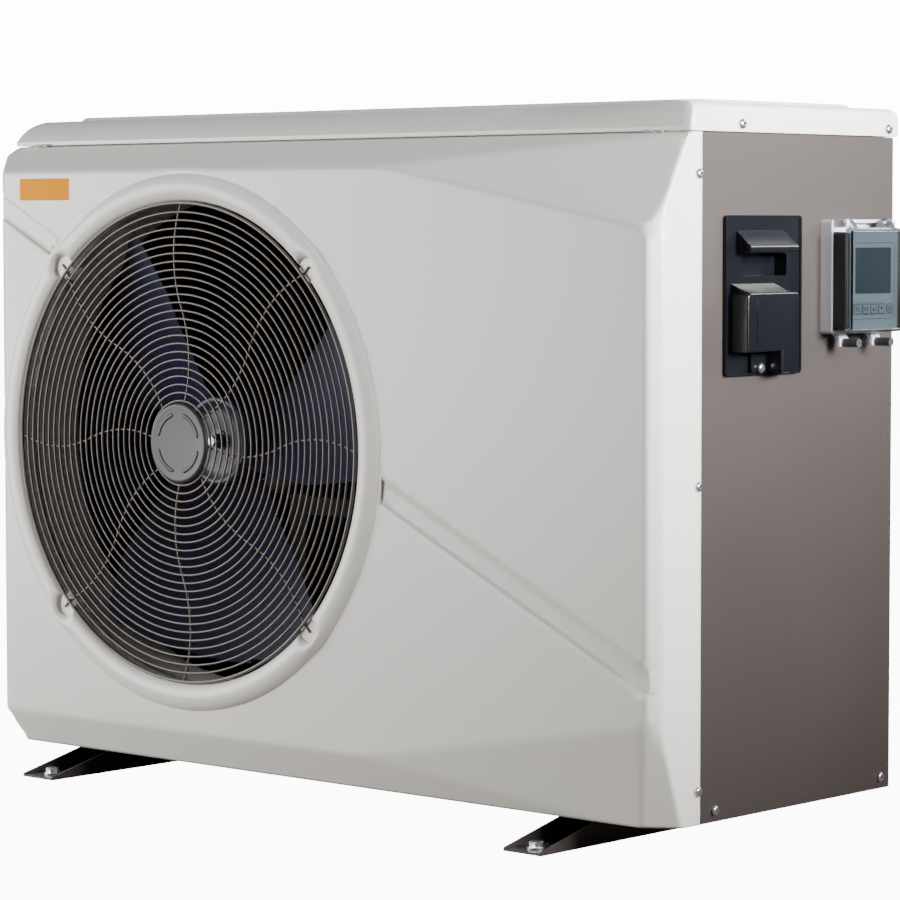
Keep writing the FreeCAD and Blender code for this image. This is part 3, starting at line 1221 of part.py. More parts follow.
NODES = {
    "foot_rail_left": lambda: foot_rail(-RAIL_X),
    "foot_rail_right": lambda: foot_rail(RAIL_X),
    "foot_bolts": foot_bolts,
    "base_pan": base_pan,
    "drain_nozzle": drain_nozzle,
    "front_panel": front_panel,
    "top_cover": top_cover,
    "side_panel_right": side_panel_right,
    "rear_panel": rear_panel,
    "corner_post": corner_post,
    "coil_guard_rear": coil_guard_rear,
    "coil_guard_left": coil_guard_left,
    "partition_panel": partition_panel,
    "evaporator_fins": evaporator_fins,
    "evaporator_tubes": evaporator_tubes,
    "tube_sheets": tube_sheets,
    "fan_shroud": fan_shroud,
    "fan_rotor": fan_rotor,
    "fan_shaft": fan_shaft,
    "fan_nut": fan_nut,
    "fan_motor": fan_motor,
    "motor_screws": motor_screws,
    "motor_bracket": motor_bracket,
    "fan_grille": fan_grille,
    "grille_cap": grille_cap,
    "grille_clips": grille_clips,
    "compressor": compressor,
    "compressor_feet": compressor_feet,
    "compressor_bolts": compressor_bolts,
    "accumulator": accumulator,
    "heat_exchanger": heat_exchanger,
    "titanium_coil": titanium_coil,
    "water_pipes": lambda: Part.makeCompound([water_pipe(INLET_Z), water_pipe(OUTLET_Z)]),
    "union_sockets": lambda: Part.makeCompound([union_tail(INLET_Z), union_tail(OUTLET_Z)]),
    "union_nuts": lambda: Part.makeCompound([union_nut(INLET_Z), union_nut(OUTLET_Z)]),
    "flow_switch": flow_switch,
    "reversing_valve": reversing_valve,
    "expansion_valve": expansion_valve,
    "refrigerant_pipes": refrigerant_pipes,
    "electrical_box": electrical_box,
    "control_board": control_board,
    "heat_sink": heat_sink,
    "handle_plate": handle_plate,
    "terminal_block": terminal_block,
    "terminal_cover": terminal_cover,
    "cable_gland": cable_gland,
    "controller_base": controller_base,
    "controller_body": controller_body,
    "controller_display": controller_display,
    "controller_lid": controller_lid,
    "lid_hinge_pins": lid_hinge_pins,
    "latch_front": lambda: lid_latch(LATCH_SPOTS[0]),
    "latch_rear": lambda: lid_latch(LATCH_SPOTS[1]),
    "cabinet_screws": cabinet_screws,
    "warning_label": warning_label,
}
# One node for each key of the controller.
KEYS = dict(zip(KEY_NAMES, key_spots()))


def main():
    os.makedirs("parts", exist_ok=True)
    shapes = {name: make() for name, make in NODES.items()}
    shapes.update({name: controller_key(y) for name, y in KEYS.items()})
    for name, shape in shapes.items():
        shape.exportStep("parts/" + name + ".step")


main()
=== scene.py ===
import json
import math

import bmesh
import bpy
import numpy as np
from mathutils import Matrix, Vector
from mathutils.geometry import delaunay_2d_cdt


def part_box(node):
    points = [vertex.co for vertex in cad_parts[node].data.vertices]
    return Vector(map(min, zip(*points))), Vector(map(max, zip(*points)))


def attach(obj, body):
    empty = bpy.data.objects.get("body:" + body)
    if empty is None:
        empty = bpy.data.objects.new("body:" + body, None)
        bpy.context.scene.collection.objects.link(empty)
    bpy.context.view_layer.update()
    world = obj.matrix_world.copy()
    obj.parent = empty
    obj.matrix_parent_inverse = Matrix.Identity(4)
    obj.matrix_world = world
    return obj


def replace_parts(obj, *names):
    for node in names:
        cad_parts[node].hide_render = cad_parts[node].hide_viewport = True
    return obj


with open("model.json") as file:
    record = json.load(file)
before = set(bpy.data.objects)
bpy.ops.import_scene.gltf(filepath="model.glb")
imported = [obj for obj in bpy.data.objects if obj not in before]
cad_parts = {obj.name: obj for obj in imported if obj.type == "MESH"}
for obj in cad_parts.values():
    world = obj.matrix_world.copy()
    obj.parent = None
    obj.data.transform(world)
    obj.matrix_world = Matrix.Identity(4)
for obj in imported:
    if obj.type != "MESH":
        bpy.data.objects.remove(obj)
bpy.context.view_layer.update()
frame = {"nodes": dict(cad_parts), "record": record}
RECORD = frame["record"]
MM = 0.001


# ---- places read from the frame, in millimetres ----------------------------------------
def box_mm(node):
    low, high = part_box(node)
    return np.array(low) / MM, np.array(high) / MM


PANEL_LOW, PANEL_HIGH = box_mm("front_panel")
LEFT = PANEL_LOW[0]
RIGHT = PANEL_HIGH[0]
BOTTOM = PANEL_LOW[2]
SEAM = PANEL_HIGH[2]
BEAD_H = 8.0
FACE = PANEL_LOW[1] + BEAD_H
PANEL_EDGE = PANEL_HIGH[1]
BACK = box_mm("side_panel_right")[1][1]
HUB_LOW, HUB_HIGH = box_mm("fan_shaft")
FAN_X = (HUB_LOW[0] + HUB_HIGH[0]) / 2
FAN_Z = (HUB_LOW[2] + HUB_HIGH[2]) / 2
GUARD_LOW, _ = box_mm("fan_grille")
RIM_WIRE_R = 1.8
GUARD_Y = GUARD_LOW[1] + RIM_WIRE_R
MOUTH_R = 251.5
BEAD_R = 279.0
NOTCH_R = 12.0
NOTCH_AT_R = 256.0
NOTCH_ANGLES = [math.radians(45 + 90 * i) for i in range(4)]
SEAM_RADIUS = 283.0


# ---- materials -------------------------------------------------------------------------
def srgb(r, g, b):
    def channel(c):
        c /= 255
        return c / 12.92 if c <= 0.04045 else ((c + 0.055) / 1.055) ** 2.4
    return (channel(r), channel(g), channel(b), 1.0)


def shaded(colour, factor):
    return tuple(min(1.0, c * factor) for c in colour[:3]) + (1.0,)


COAT_ROUGHNESS = 0.08
REFRACTION = 1.46
ROUGHNESS_SPREAD = 0.05
GRAIN_DEPTH = 0.0002     # metres


def material(name, colour, rough, metal=0.0, spread=0.06, grain=900.0, bump=0.05, cloud=9.0,
             coat=0.0, clear=0.0, stretch=(1, 1, 1), specular=0.5):
    """Node material: cloudy tint, uneven roughness and a fine surface grain."""
    m = bpy.data.materials.new(name)
    m.use_nodes = True
    nodes = m.node_tree.nodes
    links = m.node_tree.links
    shader = nodes["Principled BSDF"]
    shader.inputs["Metallic"].default_value = metal
    shader.inputs["Coat Weight"].default_value = coat
    shader.inputs["Coat Roughness"].default_value = COAT_ROUGHNESS
    shader.inputs["Transmission Weight"].default_value = clear
    shader.inputs["Specular IOR Level"].default_value = specular
    shader.inputs["IOR"].default_value = REFRACTION
    place = nodes.new("ShaderNodeTexCoord")
    turn = nodes.new("ShaderNodeMapping")
    turn.inputs["Scale"].default_value = stretch
    links.new(place.outputs["Object"], turn.inputs["Vector"])

    tint = nodes.new("ShaderNodeTexNoise")
    tint.inputs["Scale"].default_value = cloud
    tint.inputs["Detail"].default_value = 5.0
    links.new(turn.outputs["Vector"], tint.inputs["Vector"])
    ramp = nodes.new("ShaderNodeValToRGB")
    ramp.color_ramp.elements[0].position = 0.3
    ramp.color_ramp.elements[1].position = 0.7
    ramp.color_ramp.elements[0].color = shaded(colour, 1 - spread)
    ramp.color_ramp.elements[1].color = shaded(colour, 1 + spread)
    links.new(tint.outputs["Fac"], ramp.inputs["Fac"])
    links.new(ramp.outputs["Color"], shader.inputs["Base Color"])

    fine = nodes.new("ShaderNodeTexNoise")
    fine.inputs["Scale"].default_value = grain
    fine.inputs["Detail"].default_value = 3.0
    links.new(turn.outputs["Vector"], fine.inputs["Vector"])
    spread_rough = nodes.new("ShaderNodeMapRange")
    spread_rough.inputs["To Min"].default_value = max(0.02, rough - ROUGHNESS_SPREAD)
    spread_rough.inputs["To Max"].default_value = min(1.0, rough + ROUGHNESS_SPREAD)
    links.new(tint.outputs["Fac"], spread_rough.inputs["Value"])
    links.new(spread_rough.outputs["Result"], shader.inputs["Roughness"])
    relief = nodes.new("ShaderNodeBump")
    relief.inputs["Strength"].default_value = bump
    relief.inputs["Distance"].default_value = GRAIN_DEPTH
    links.new(fine.outputs["Fac"], relief.inputs["Height"])
    links.new(relief.outputs["Normal"], shader.inputs["Normal"])
    return m


LOOK = {
    "white_abs": material("moulded white", srgb(222, 221, 215), 0.33, spread=0.012, grain=700,
                          bump=0.15, cloud=3.0),
    "taupe_steel": material("taupe powder coat", srgb(58, 52, 50), 0.46, spread=0.03,
                            grain=1100, bump=0.3, cloud=5.0),
    "taupe_plastic": material("taupe moulding", srgb(38, 36, 36), 0.5, spread=0.03),
    "taupe_wire": material("taupe wire coat", srgb(100, 90, 83), 0.4, spread=0.05, bump=0.1),
    "galvanised": material("galvanised sheet", srgb(176, 178, 180), 0.38, metal=0.9, spread=0.12,
                           cloud=60.0, bump=0.1),
    "zinc": material("zinc plate", srgb(205, 208, 214), 0.24, metal=0.95, spread=0.06, cloud=120),
    "steel": material("turned steel", srgb(170, 170, 170), 0.3, metal=1.0, spread=0.05,
                      stretch=(1, 60, 1)),
    "motor_steel": material("motor paint", srgb(22, 22, 24), 0.65, spread=0.06, specular=0.2),
    "black_steel": material("black enamel", srgb(30, 30, 32), 0.28, spread=0.06, coat=0.4),
    "rubber": material("rubber", srgb(34, 34, 34), 0.75, spread=0.1, bump=0.3),
    "grey_pvc": material("grey pipe", srgb(122, 124, 127), 0.4, spread=0.03, bump=0.08),
    "black_plastic": material("black moulding", srgb(30, 30, 32), 0.45, spread=0.08, bump=0.15),
    "black_gloss": material("black gloss moulding", srgb(11, 13, 18), 0.24, spread=0.05,
                            bump=0.08, specular=0.5),
    "titanium": material("titanium tube", srgb(150, 146, 141), 0.3, metal=1.0, spread=0.05),
    "brass": material("brass", srgb(196, 158, 88), 0.3, metal=1.0, spread=0.07, cloud=40),
    "copper": material("copper tube", srgb(196, 122, 88), 0.32, metal=1.0, spread=0.12, cloud=30),
    "blue_fin": material("blue coated fin", srgb(88, 122, 158), 0.35, metal=0.6, spread=0.1,
                         cloud=40),
    "aluminium": material("aluminium", srgb(190, 191, 193), 0.35, metal=1.0, spread=0.05),
    "navy_plastic": material("fan moulding", srgb(26, 30, 60), 0.42, spread=0.08, bump=0.1,
                             cloud=14.0),
    "circuit_board": material("circuit board", srgb(34, 92, 58), 0.4, spread=0.2, cloud=90.0),
    "lilac_plastic": material("controller housing", srgb(196, 196, 206), 0.4, spread=0.02,
                              bump=0.15),
    "controller_face": material("controller face", srgb(146, 154, 160), 0.5, spread=0.02),
    "display": material("display glass", srgb(66, 74, 80), 0.12, spread=0.08, bump=0.02,
                        coat=0.5),
    "key_plastic": material("key cap", srgb(142, 151, 157), 0.5, spread=0.02),
    "smoke_clear": material("smoke clear cover", srgb(212, 220, 226), 0.06, spread=0.02,
                            bump=0.01, clear=1.0),
    "smoke_knob": material("smoke knob", srgb(62, 64, 68), 0.2, spread=0.1, coat=0.3),
    "yellow_label": material("yellow label", srgb(232, 150, 0), 0.6, spread=0.02, bump=0.03,
                             specular=0.05),
    "print_dark": material("printed line", srgb(34, 40, 44), 0.5, spread=0.05),
    "dull_zinc": material("dull zinc plate", srgb(96, 98, 102), 0.5, metal=0.8, spread=0.08),
    # painted shade: near-black look for the controller body's sides, which sit in the shade inside
    # the housing
    "painted_inner_shade": material("painted shade on inner sides", srgb(36, 32, 32), 0.5, spread=0.1),
    "floor": material("studio floor", srgb(112, 96, 78), 0.85, spread=0.004, bump=0.0),
}
BODY_OF = {n: b for b, nodes in RECORD["behaviour"]["bodies"].items() for n in nodes}
SLOT_OF = {s["node"]: s["material_slot"] for s in RECORD["subparts"]}


# ---- building helpers ------------------------------------------------------------------
WELD = 2e-6              # metres between vertices that are one
FLAT_ANGLE = 0.6         # degrees between faces that count as one flat
EDGE_ANGLE = 30.0        # degrees from which an edge is rounded
WALL = 2.4               # wall of the moulded panels


def new_object(name, mesh, look, body, slot, sharp):
    obj = bpy.data.objects.new(name, mesh)
    bpy.context.scene.collection.objects.link(obj)
    mesh.materials.clear()
    mesh.materials.append(LOOK[look])
    mesh.shade_smooth()
    if sharp:
        mesh.set_sharp_from_angle(angle=math.radians(sharp))
    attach(obj, body)
    return obj


def from_arrays(name, verts, faces, look, body, slot, sharp):
    mesh = bpy.data.meshes.new(name)
    places = (np.asarray(verts, float) * MM).tolist()
    mesh.from_pydata(places, [], [list(map(int, f)) for f in faces])
    mesh.validate()
    return new_object(name, mesh, look, body, slot, sharp)


def merged(parts):
    """Several (verts, faces) as one."""
    verts = []
    faces = []
    for v, f in parts:
        base = sum(len(a) for a in verts)
        verts.append(np.asarray(v, float))
        faces += [[i + base for i in face] for face in f]
    return np.vstack(verts), faces


def rounded(obj, width, segments):
    bevel = obj.modifiers.new("edges", "BEVEL")
    bevel.width = width * MM
    bevel.segments = segments
    bevel.limit_method = "ANGLE"
    bevel.angle_limit = math.radians(EDGE_ANGLE)
    bevel.harden_normals = True
    bevel.use_clamp_overlap = True


def hollow(obj):
    """Give a moulded skin its wall, inwards."""
    wall = obj.modifiers.new("wall", "SOLIDIFY")
    wall.thickness = WALL * MM
    wall.offset = -1


def node_bmesh(node):
    """The node's own mesh with its double vertices joined."""
    bm = bmesh.new()
    bm.from_mesh(frame["nodes"][node].data)
    bmesh.ops.remove_doubles(bm, verts=bm.verts, dist=WELD)
    return bm


def refined(node, width, segments, look=None):
    """The node's own shape with its coplanar faces joined and its edges rounded."""
    bm = node_bmesh(node)
    bmesh.ops.dissolve_limit(bm, angle_limit=math.radians(FLAT_ANGLE), verts=bm.verts,
                             edges=bm.edges)
    mesh = bpy.data.meshes.new(node + "_part")
    bm.to_mesh(mesh)
    bm.free()
    slot = SLOT_OF[node]
    obj = new_object(node + "_part", mesh, look or slot, BODY_OF[node], slot, EDGE_ANGLE)
    if width:
        rounded(obj, width, segments)
    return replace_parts(obj, node)


def grid_faces(rows, cols, close_rows=False, close_cols=False):
    """Quads of a grid of vertices, stored row by row."""
    faces = []
    for i in range(rows if close_rows else rows - 1):
        for j in range(cols if close_cols else cols - 1):
            a = i * cols + j
            b = i * cols + (j + 1) % cols
            c = ((i + 1) % rows) * cols + (j + 1) % cols
            d = ((i + 1) % rows) * cols + j
            faces.append((a, b, c, d))
    return faces


def tube_along(points, r, sides, closed=False):
    """Round tube on a polyline in 3D, with capped ends if open."""
    p = np.asarray(points, float)
    if closed:
        tangent = np.roll(p, -1, 0) - np.roll(p, 1, 0)
    else:
        tangent = np.gradient(p, axis=0)
    tangent /= np.linalg.norm(tangent, axis=1)[:, None]
    first = np.cross(tangent, np.array([0.0, 1.0, 0.0]))
    weak = np.linalg.norm(first, axis=1) < 0.2
    first[weak] = np.cross(tangent[weak], np.array([1.0, 0.0, 0.0]))
    first /= np.linalg.norm(first, axis=1)[:, None]
    second = np.cross(tangent, first)
    turn = np.linspace(0, 2 * math.pi, sides, endpoint=False)
    ring = (first[:, None] * np.cos(turn)[None, :, None] +
            second[:, None] * np.sin(turn)[None, :, None])
    verts = (p[:, None] + r * ring).reshape(-1, 3)
    faces = grid_faces(len(p), sides, close_rows=closed, close_cols=True)
    if not closed:
        faces.append(tuple(range(sides))[::-1])
        faces.append(tuple(range((len(p) - 1) * sides, len(p) * sides)))
    return verts, faces


def lathe_y(profile, centre, steps, closed=True):
    """(radius, y) outline turned about an axis along Y through centre (x, z)."""
    profile = np.asarray(profile, float)
    turn = np.linspace(0, 2 * math.pi, steps, endpoint=False)
    verts = np.empty((steps, len(profile), 3))
    verts[:, :, 0] = centre[0] + np.cos(turn)[:, None] * profile[None, :, 0]
    verts[:, :, 1] = profile[None, :, 1]
    verts[:, :, 2] = centre[1] + np.sin(turn)[:, None] * profile[None, :, 0]
    return verts.reshape(-1, 3), grid_faces(steps, len(profile), close_rows=True, close_cols=closed)


def outward(obj):
    """Turn the face normals outwards."""
    bm = bmesh.new()
    bm.from_mesh(obj.data)
    bmesh.ops.recalc_face_normals(bm, faces=bm.faces)
    bm.to_mesh(obj.data)
    bm.free()
    return obj


# ---- moulded front panel ---------------------------------------------------------------
PANEL_MIDDLE = np.array([0.0, -60.0, 350.0])


def plane(a, b, c):
    """(unit normal pointing out of the panel, offset) of the plane through three points."""
    a, b, c = (np.array(p, float) for p in (a, b, c))
    n = np.cross(b - a, c - a)
    n /= np.linalg.norm(n)
    if n @ (PANEL_MIDDLE - a) > 0:
        n = -n
    return n, n @ a


CREST_Z = 651.0
BASE_Z = 65.0
TOP_KNEE = (139.0, 650.0)            # x and z where the top fold splits towards the right corner
TOP_CORNER = (469.6, 589.0)
LOW_KNEE = (131.0, 68.0)
LOW_CORNER = (466.2, 126.4)
LOW_POINT = (448.0, -169.3, BOTTOM)
RIGHT_EDGE_X = 469.0
LEFT_EDGE_X = LEFT + 31
LEFT_EDGE_Y = -154.3
LEFT_FACET_Z = 66.0
FOLDS = [                            # plane of each fold, and how wide it is rounded
    (plane((LEFT, FACE, CREST_Z), (RIGHT, FACE, CREST_Z), (LEFT, -138.3, SEAM)), 7.0),
    (plane((LEFT, FACE, BASE_Z), (RIGHT, FACE, BASE_Z), (LEFT, -170.3, BOTTOM)), 7.0),
    (plane((TOP_KNEE[0], FACE, TOP_KNEE[1]), (TOP_CORNER[0], FACE, TOP_CORNER[1]),
           (RIGHT, -138.8, SEAM)), 10.0),
    (plane((LOW_KNEE[0], FACE, LOW_KNEE[1]), (LOW_CORNER[0], FACE, LOW_CORNER[1]), LOW_POINT),
     10.0),
    (plane((LOW_CORNER[0], FACE, LOW_CORNER[1]), LOW_POINT, (RIGHT, -147.3, BOTTOM)), 8.0),
    (plane((RIGHT_EDGE_X, FACE, 0), (RIGHT_EDGE_X, FACE, 100), (RIGHT, -174.3, 0)), 8.0),
    (plane((LEFT_EDGE_X, FACE, 0), (LEFT_EDGE_X, FACE, 100), (LEFT, LEFT_EDGE_Y, 0)), 5.0),
    (plane((LEFT, LEFT_EDGE_Y, LEFT_FACET_Z), (LEFT_EDGE_X, FACE, LEFT_FACET_Z),
           (LEFT, -122.0, BOTTOM)), 5.0),
    ((np.array([1.0, 0, 0]), RIGHT), 5.0),
    ((np.array([-1.0, 0, 0]), -LEFT), 4.0),
]
FACE_PLANE = (np.array([0, -1.0, 0]), -FACE)
BANDS = [((131.0, 344.5), (484.0, 174.5)), ((-434.0, 627.5), (-334.0, 577.5))]
BAND_DROP = 24.5
BAND_DEPTH = 2.5
BAND_FILLET = 2.6
BAND_END = 6.0           # length over which a groove runs out


def panel_distance(p):
    """Signed distance to the panel's outer surface, with every fold rounded."""
    total = p @ FACE_PLANE[0] - FACE_PLANE[1]
    for (n, d), width in FOLDS:
        tilt = math.sqrt(max(0.0, 1 - float(n @ FACE_PLANE[0]) ** 2))
        k = max(0.15, width * min(1.0, tilt) / 2)
        other = p @ n - d
        near = np.maximum(k - np.abs(total - other), 0) / k
        total = np.maximum(total, other) + near * near * k / 4
    return total


def band_depth(x, z):
    """How far the two slanting grooves sink below the face."""
    sink = np.zeros_like(x)
    for (xa, za), (xb, zb) in BANDS:
        run = np.array([xb - xa, zb - za])
        length = np.linalg.norm(run)
        along = ((x - xa) * run[0] + (z - za) * run[1]) / length
        across = ((x - xa) * run[1] - (z - za) * run[0]) / length
        width = BAND_DROP * run[0] / length
        inside = np.minimum(across, width - across)
        rise = np.clip((inside + BAND_FILLET / 2) / BAND_FILLET, 0, 1)
        ends = np.clip(np.minimum(along, length - along) / BAND_END + 0.5, 0, 1)
        sink = np.maximum(sink, BAND_DEPTH * (rise * rise * (3 - 2 * rise)) * ends)
    return sink


RETURN_LENGTH = 20.0
TURN_LENGTH = 44.0
PIVOT_INSET = 30.0
PIVOT_Y = PANEL_EDGE - RETURN_LENGTH
FLAT_LENGTH = RIGHT - LEFT - 2 * PIVOT_INSET
U_EDGES = np.cumsum([0, RETURN_LENGTH, TURN_LENGTH, FLAT_LENGTH, TURN_LENGTH, RETURN_LENGTH])
U_FACE = U_EDGES[2] - (LEFT + PIVOT_INSET)
SEARCH_FROM = -25.0      # reach along each ray in which the surface is looked for
SEARCH_TO = 120.0
HALVINGS = 36


def panel_points(u, z):
    """Place on the outer surface for unrolled width u and height z."""
    start = np.zeros((len(u), 3))
    way = np.zeros((len(u), 3))
    start[:, 2] = z
    left_x = LEFT + PIVOT_INSET
    right_x = RIGHT - PIVOT_INSET
    parts = [u <= edge for edge in U_EDGES[1:5]] + [np.ones(len(u), bool)]
    taken = np.zeros(len(u), bool)
    for index, mask in enumerate(parts):
        mask = mask & ~taken
        taken |= mask
        local = u[mask] - U_EDGES[index]
        if index == 0:
            start[mask, 0] = left_x
            start[mask, 1] = PANEL_EDGE - local
            way[mask, 0] = -1
        elif index == 1:
            a = (1 - local / TURN_LENGTH) * math.pi / 2
            start[mask, 0] = left_x
            start[mask, 1] = PIVOT_Y
            way[mask, 0] = -np.sin(a)
            way[mask, 1] = -np.cos(a)
        elif index == 2:
            start[mask, 0] = left_x + local
            start[mask, 1] = PIVOT_Y
            way[mask, 1] = -1
        elif index == 3:
            a = local / TURN_LENGTH * math.pi / 2
            start[mask, 0] = right_x
            start[mask, 1] = PIVOT_Y
            way[mask, 0] = np.sin(a)
            way[mask, 1] = -np.cos(a)
        else:
            start[mask, 0] = right_x
            start[mask, 1] = PIVOT_Y + local
            way[mask, 0] = 1
    low = np.full(len(u), SEARCH_FROM)
    high = np.full(len(u), SEARCH_TO)
    for _ in range(HALVINGS):
        middle = (low + high) / 2
        inside = panel_distance(start + way * middle[:, None]) < 0
        low = np.where(inside, middle, low)
        high = np.where(inside, high, middle)
    p = start + way * ((low + high) / 2)[:, None]
    p[:, 1] = np.maximum(p[:, 1], FACE + band_depth(p[:, 0], p[:, 2]))
    return p


def spaced(stops):
    """Grid lines with a given pitch between stops: [(value, pitch to the next), ...]."""
    out = []
    for (a, pitch), (b, _) in zip(stops, stops[1:]):
        n = max(1, round((b - a) / pitch))
        out += list(np.linspace(a, b, n, endpoint=False))
    return np.array(out + [stops[-1][0]])


def far_from_lines(points, lines, gap):
    """Which points lie further than the gap from every line."""
    keep = np.ones(len(points), bool)
    for (a, b) in lines:
        a, b = np.array(a), np.array(b)
        run = b - a
        t = np.clip(((points - a) @ run) / (run @ run), 0, 1)
        keep &= np.linalg.norm(points - (a + t[:, None] * run), axis=1) > gap
    return keep


def parallel_lines(a, b, offsets):
    """The line from a to b, moved sideways by each offset."""
    a, b = np.array(a, float), np.array(b, float)
    run = (b - a) / np.linalg.norm(b - a)
    side = np.array([-run[1], run[0]])
    return [(a + side * o, b + side * o) for o in offsets]


GROOVE_EDGE = (-1.4, -0.6, 0.2, 1.1)       # grid lines along the upper edge of a groove
GROOVE_FOOT = (-1.1, -0.2, 0.6, 1.4)       # and along its lower edge
FOLD_LINES = (-5, -3, -1, 1, 3, 5)
LINE_GAP = 1.9
LINE_PITCH = 5.0


def panel_shell():
    """Outer skin of the panel around the fan ring, as a triangulated unrolled sheet."""
    us = spaced([(0, 5), (U_EDGES[1], 1.5), (U_EDGES[2], 7), (U_FACE + RIGHT - 40, 1.5),
                 (U_EDGES[3], 1.2), (U_EDGES[4], 4), (U_EDGES[5], 1)])
    zs = spaced([(BOTTOM, 2.5), (BASE_Z - 8, 1.6), (BASE_Z + 8, 6), (CREST_Z - 60, 3.5),
                 (CREST_Z - 8, 1.6), (CREST_Z + 6, 2.0), (SEAM, 1)])
    grid = np.array([(u, z) for u in us for z in zs])
    lines = []
    for (xa, za), (xb, zb) in BANDS:
        width = BAND_DROP * math.cos(math.atan2(za - zb, xb - xa))
        offsets = [-o for o in GROOVE_EDGE] + [-(width + o) for o in GROOVE_FOOT]
        lines += parallel_lines((U_FACE + xa, za), (U_FACE + xb, zb), offsets)
    lines += parallel_lines((U_FACE + TOP_KNEE[0], TOP_KNEE[1]), (U_FACE + 466, 589.7), FOLD_LINES)
    lines += parallel_lines((U_FACE + LOW_KNEE[0], LOW_KNEE[1]), (U_FACE + 464, 126), FOLD_LINES)
    outer = (grid[:, 0] < 0.1) | (grid[:, 0] > U_EDGES[5] - 0.1)
    border = outer | (grid[:, 1] < BOTTOM + 0.1) | (grid[:, 1] > SEAM - 0.1)
    grid = grid[far_from_lines(grid, lines, LINE_GAP) | border]
    centre = np.array([U_FACE + FAN_X, FAN_Z])
    grid = grid[np.linalg.norm(grid - centre, axis=1) > SEAM_RADIUS + 2.5]
    ring = [centre + SEAM_RADIUS * np.array([math.cos(a), math.sin(a)]) for a in RING_TURNS]
    points = [tuple(p) for p in ring] + [tuple(p) for p in grid]
    edges = [(i, (i + 1) % len(ring)) for i in range(len(ring))]
    for a, b in lines:
        n = max(2, round(np.linalg.norm(b - a) / LINE_PITCH))
        chain = []
        for t in np.linspace(0, 1, n + 1):
            q = a + (b - a) * t
            if np.linalg.norm(q - centre) > SEAM_RADIUS + 1.2 and q[0] < U_EDGES[4]:
                chain.append(len(points))
                points.append(tuple(q))
        edges += list(zip(chain, chain[1:]))
    out = delaunay_2d_cdt([Vector(p) for p in points], edges, [], 0, 1e-5)
    uv = np.array([tuple(v) for v in out[0]])
    faces = []
    for f in out[2]:
        reach = np.linalg.norm(uv[list(f)] - centre, axis=1)
        middle = uv[list(f)].mean(0)
        on_circle = np.all(np.abs(reach - SEAM_RADIUS) < 1e-3)
        if not on_circle and np.linalg.norm(middle - centre) > SEAM_RADIUS * 0.99:
            faces.append(tuple(f))
    return panel_points(uv[:, 0], uv[:, 1]), faces


POCKET_REACH = 17.0      # arc to each side of a pocket that is divided finely


def ring_turns():
    """Angles round the mouth, closer together beside the four pockets."""
    turns = []
    reach = POCKET_REACH / NOTCH_AT_R
    for a in NOTCH_ANGLES:
        turns += list(np.linspace(a - reach, a + reach, 60, endpoint=False))
        turns += list(np.linspace(a + reach, a + math.pi / 2 - reach, 110, endpoint=False))
    return turns


RING_TURNS = ring_turns()
BEAD_FULLNESS = 0.62
BEAD_SOFT = 0.7


def bead_height(x, z):
    """Height of the bead over the face; it runs round each pocket."""
    r = np.hypot(x, z)
    inner = r - MOUTH_R
    for a in NOTCH_ANGLES:
        cx = NOTCH_AT_R * math.cos(a)
        cz = NOTCH_AT_R * math.sin(a)
        inner = np.minimum(inner, np.hypot(x - cx, z - cz) - NOTCH_R)
    outer = np.maximum(BEAD_R - r, 0)
    inner_in = np.maximum(inner, 0)
    share = inner_in / (inner_in + outer + 1e-9)
    height = BEAD_H * np.power(np.clip(4 * share * (1 - share), 0, 1), BEAD_FULLNESS)
    return np.sqrt(height * height + BEAD_SOFT * BEAD_SOFT) - BEAD_SOFT


def fan_ring():
    """The bead round the mouth and the throat behind it."""
    radii = np.concatenate([np.linspace(MOUTH_R, MOUTH_R + 3, 6)[:-1],
                            np.linspace(MOUTH_R + 3, BEAD_R + 1, 34)[:-1],
                            np.linspace(BEAD_R + 1, SEAM_RADIUS, 4)])
    turns = np.array(RING_TURNS)
    x = np.cos(turns)[:, None] * radii[None]
    z = np.sin(turns)[:, None] * radii[None]
    y = FACE - bead_height(x, z)
    edge = [(MOUTH_R - 0.6, FACE + 20), (MOUTH_R - 0.6, FACE + 10), (MOUTH_R - 0.6, FACE + 2),
            (MOUTH_R - 0.45, FACE + 0.9), (MOUTH_R - 0.2, FACE + 0.3)]
    cols = len(radii) + len(edge)
    verts = np.empty((len(turns), cols, 3))
    verts[:, :len(edge), 0] = np.cos(turns)[:, None] * np.array([e[0] for e in edge])
    verts[:, :len(edge), 1] = np.array([e[1] for e in edge])
    verts[:, :len(edge), 2] = np.sin(turns)[:, None] * np.array([e[0] for e in edge])
    verts[:, len(edge):, 0] = x
    verts[:, len(edge):, 1] = y
    verts[:, len(edge):, 2] = z
    verts[:, :, 0] += FAN_X
    verts[:, :, 2] += FAN_Z
    return verts.reshape(-1, 3), grid_faces(len(turns), cols, close_rows=True)


def front_panel():
    obj = from_arrays("front_panel_moulding", *merged([panel_shell(), fan_ring()]), "white_abs",
                      "cabinet", "white_abs", 0)
    bm = bmesh.new()
    bm.from_mesh(obj.data)
    bmesh.ops.remove_doubles(bm, verts=bm.verts, dist=WELD)
    bmesh.ops.recalc_face_normals(bm, faces=bm.faces)
    if sum(f.normal.y * f.calc_area() for f in bm.faces) > 0:
        bmesh.ops.reverse_faces(bm, faces=bm.faces)
    bm.to_mesh(obj.data)
    bm.free()
    obj.data.set_sharp_from_angle(angle=math.radians(50))
    hollow(obj)
    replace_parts(obj, "front_panel")


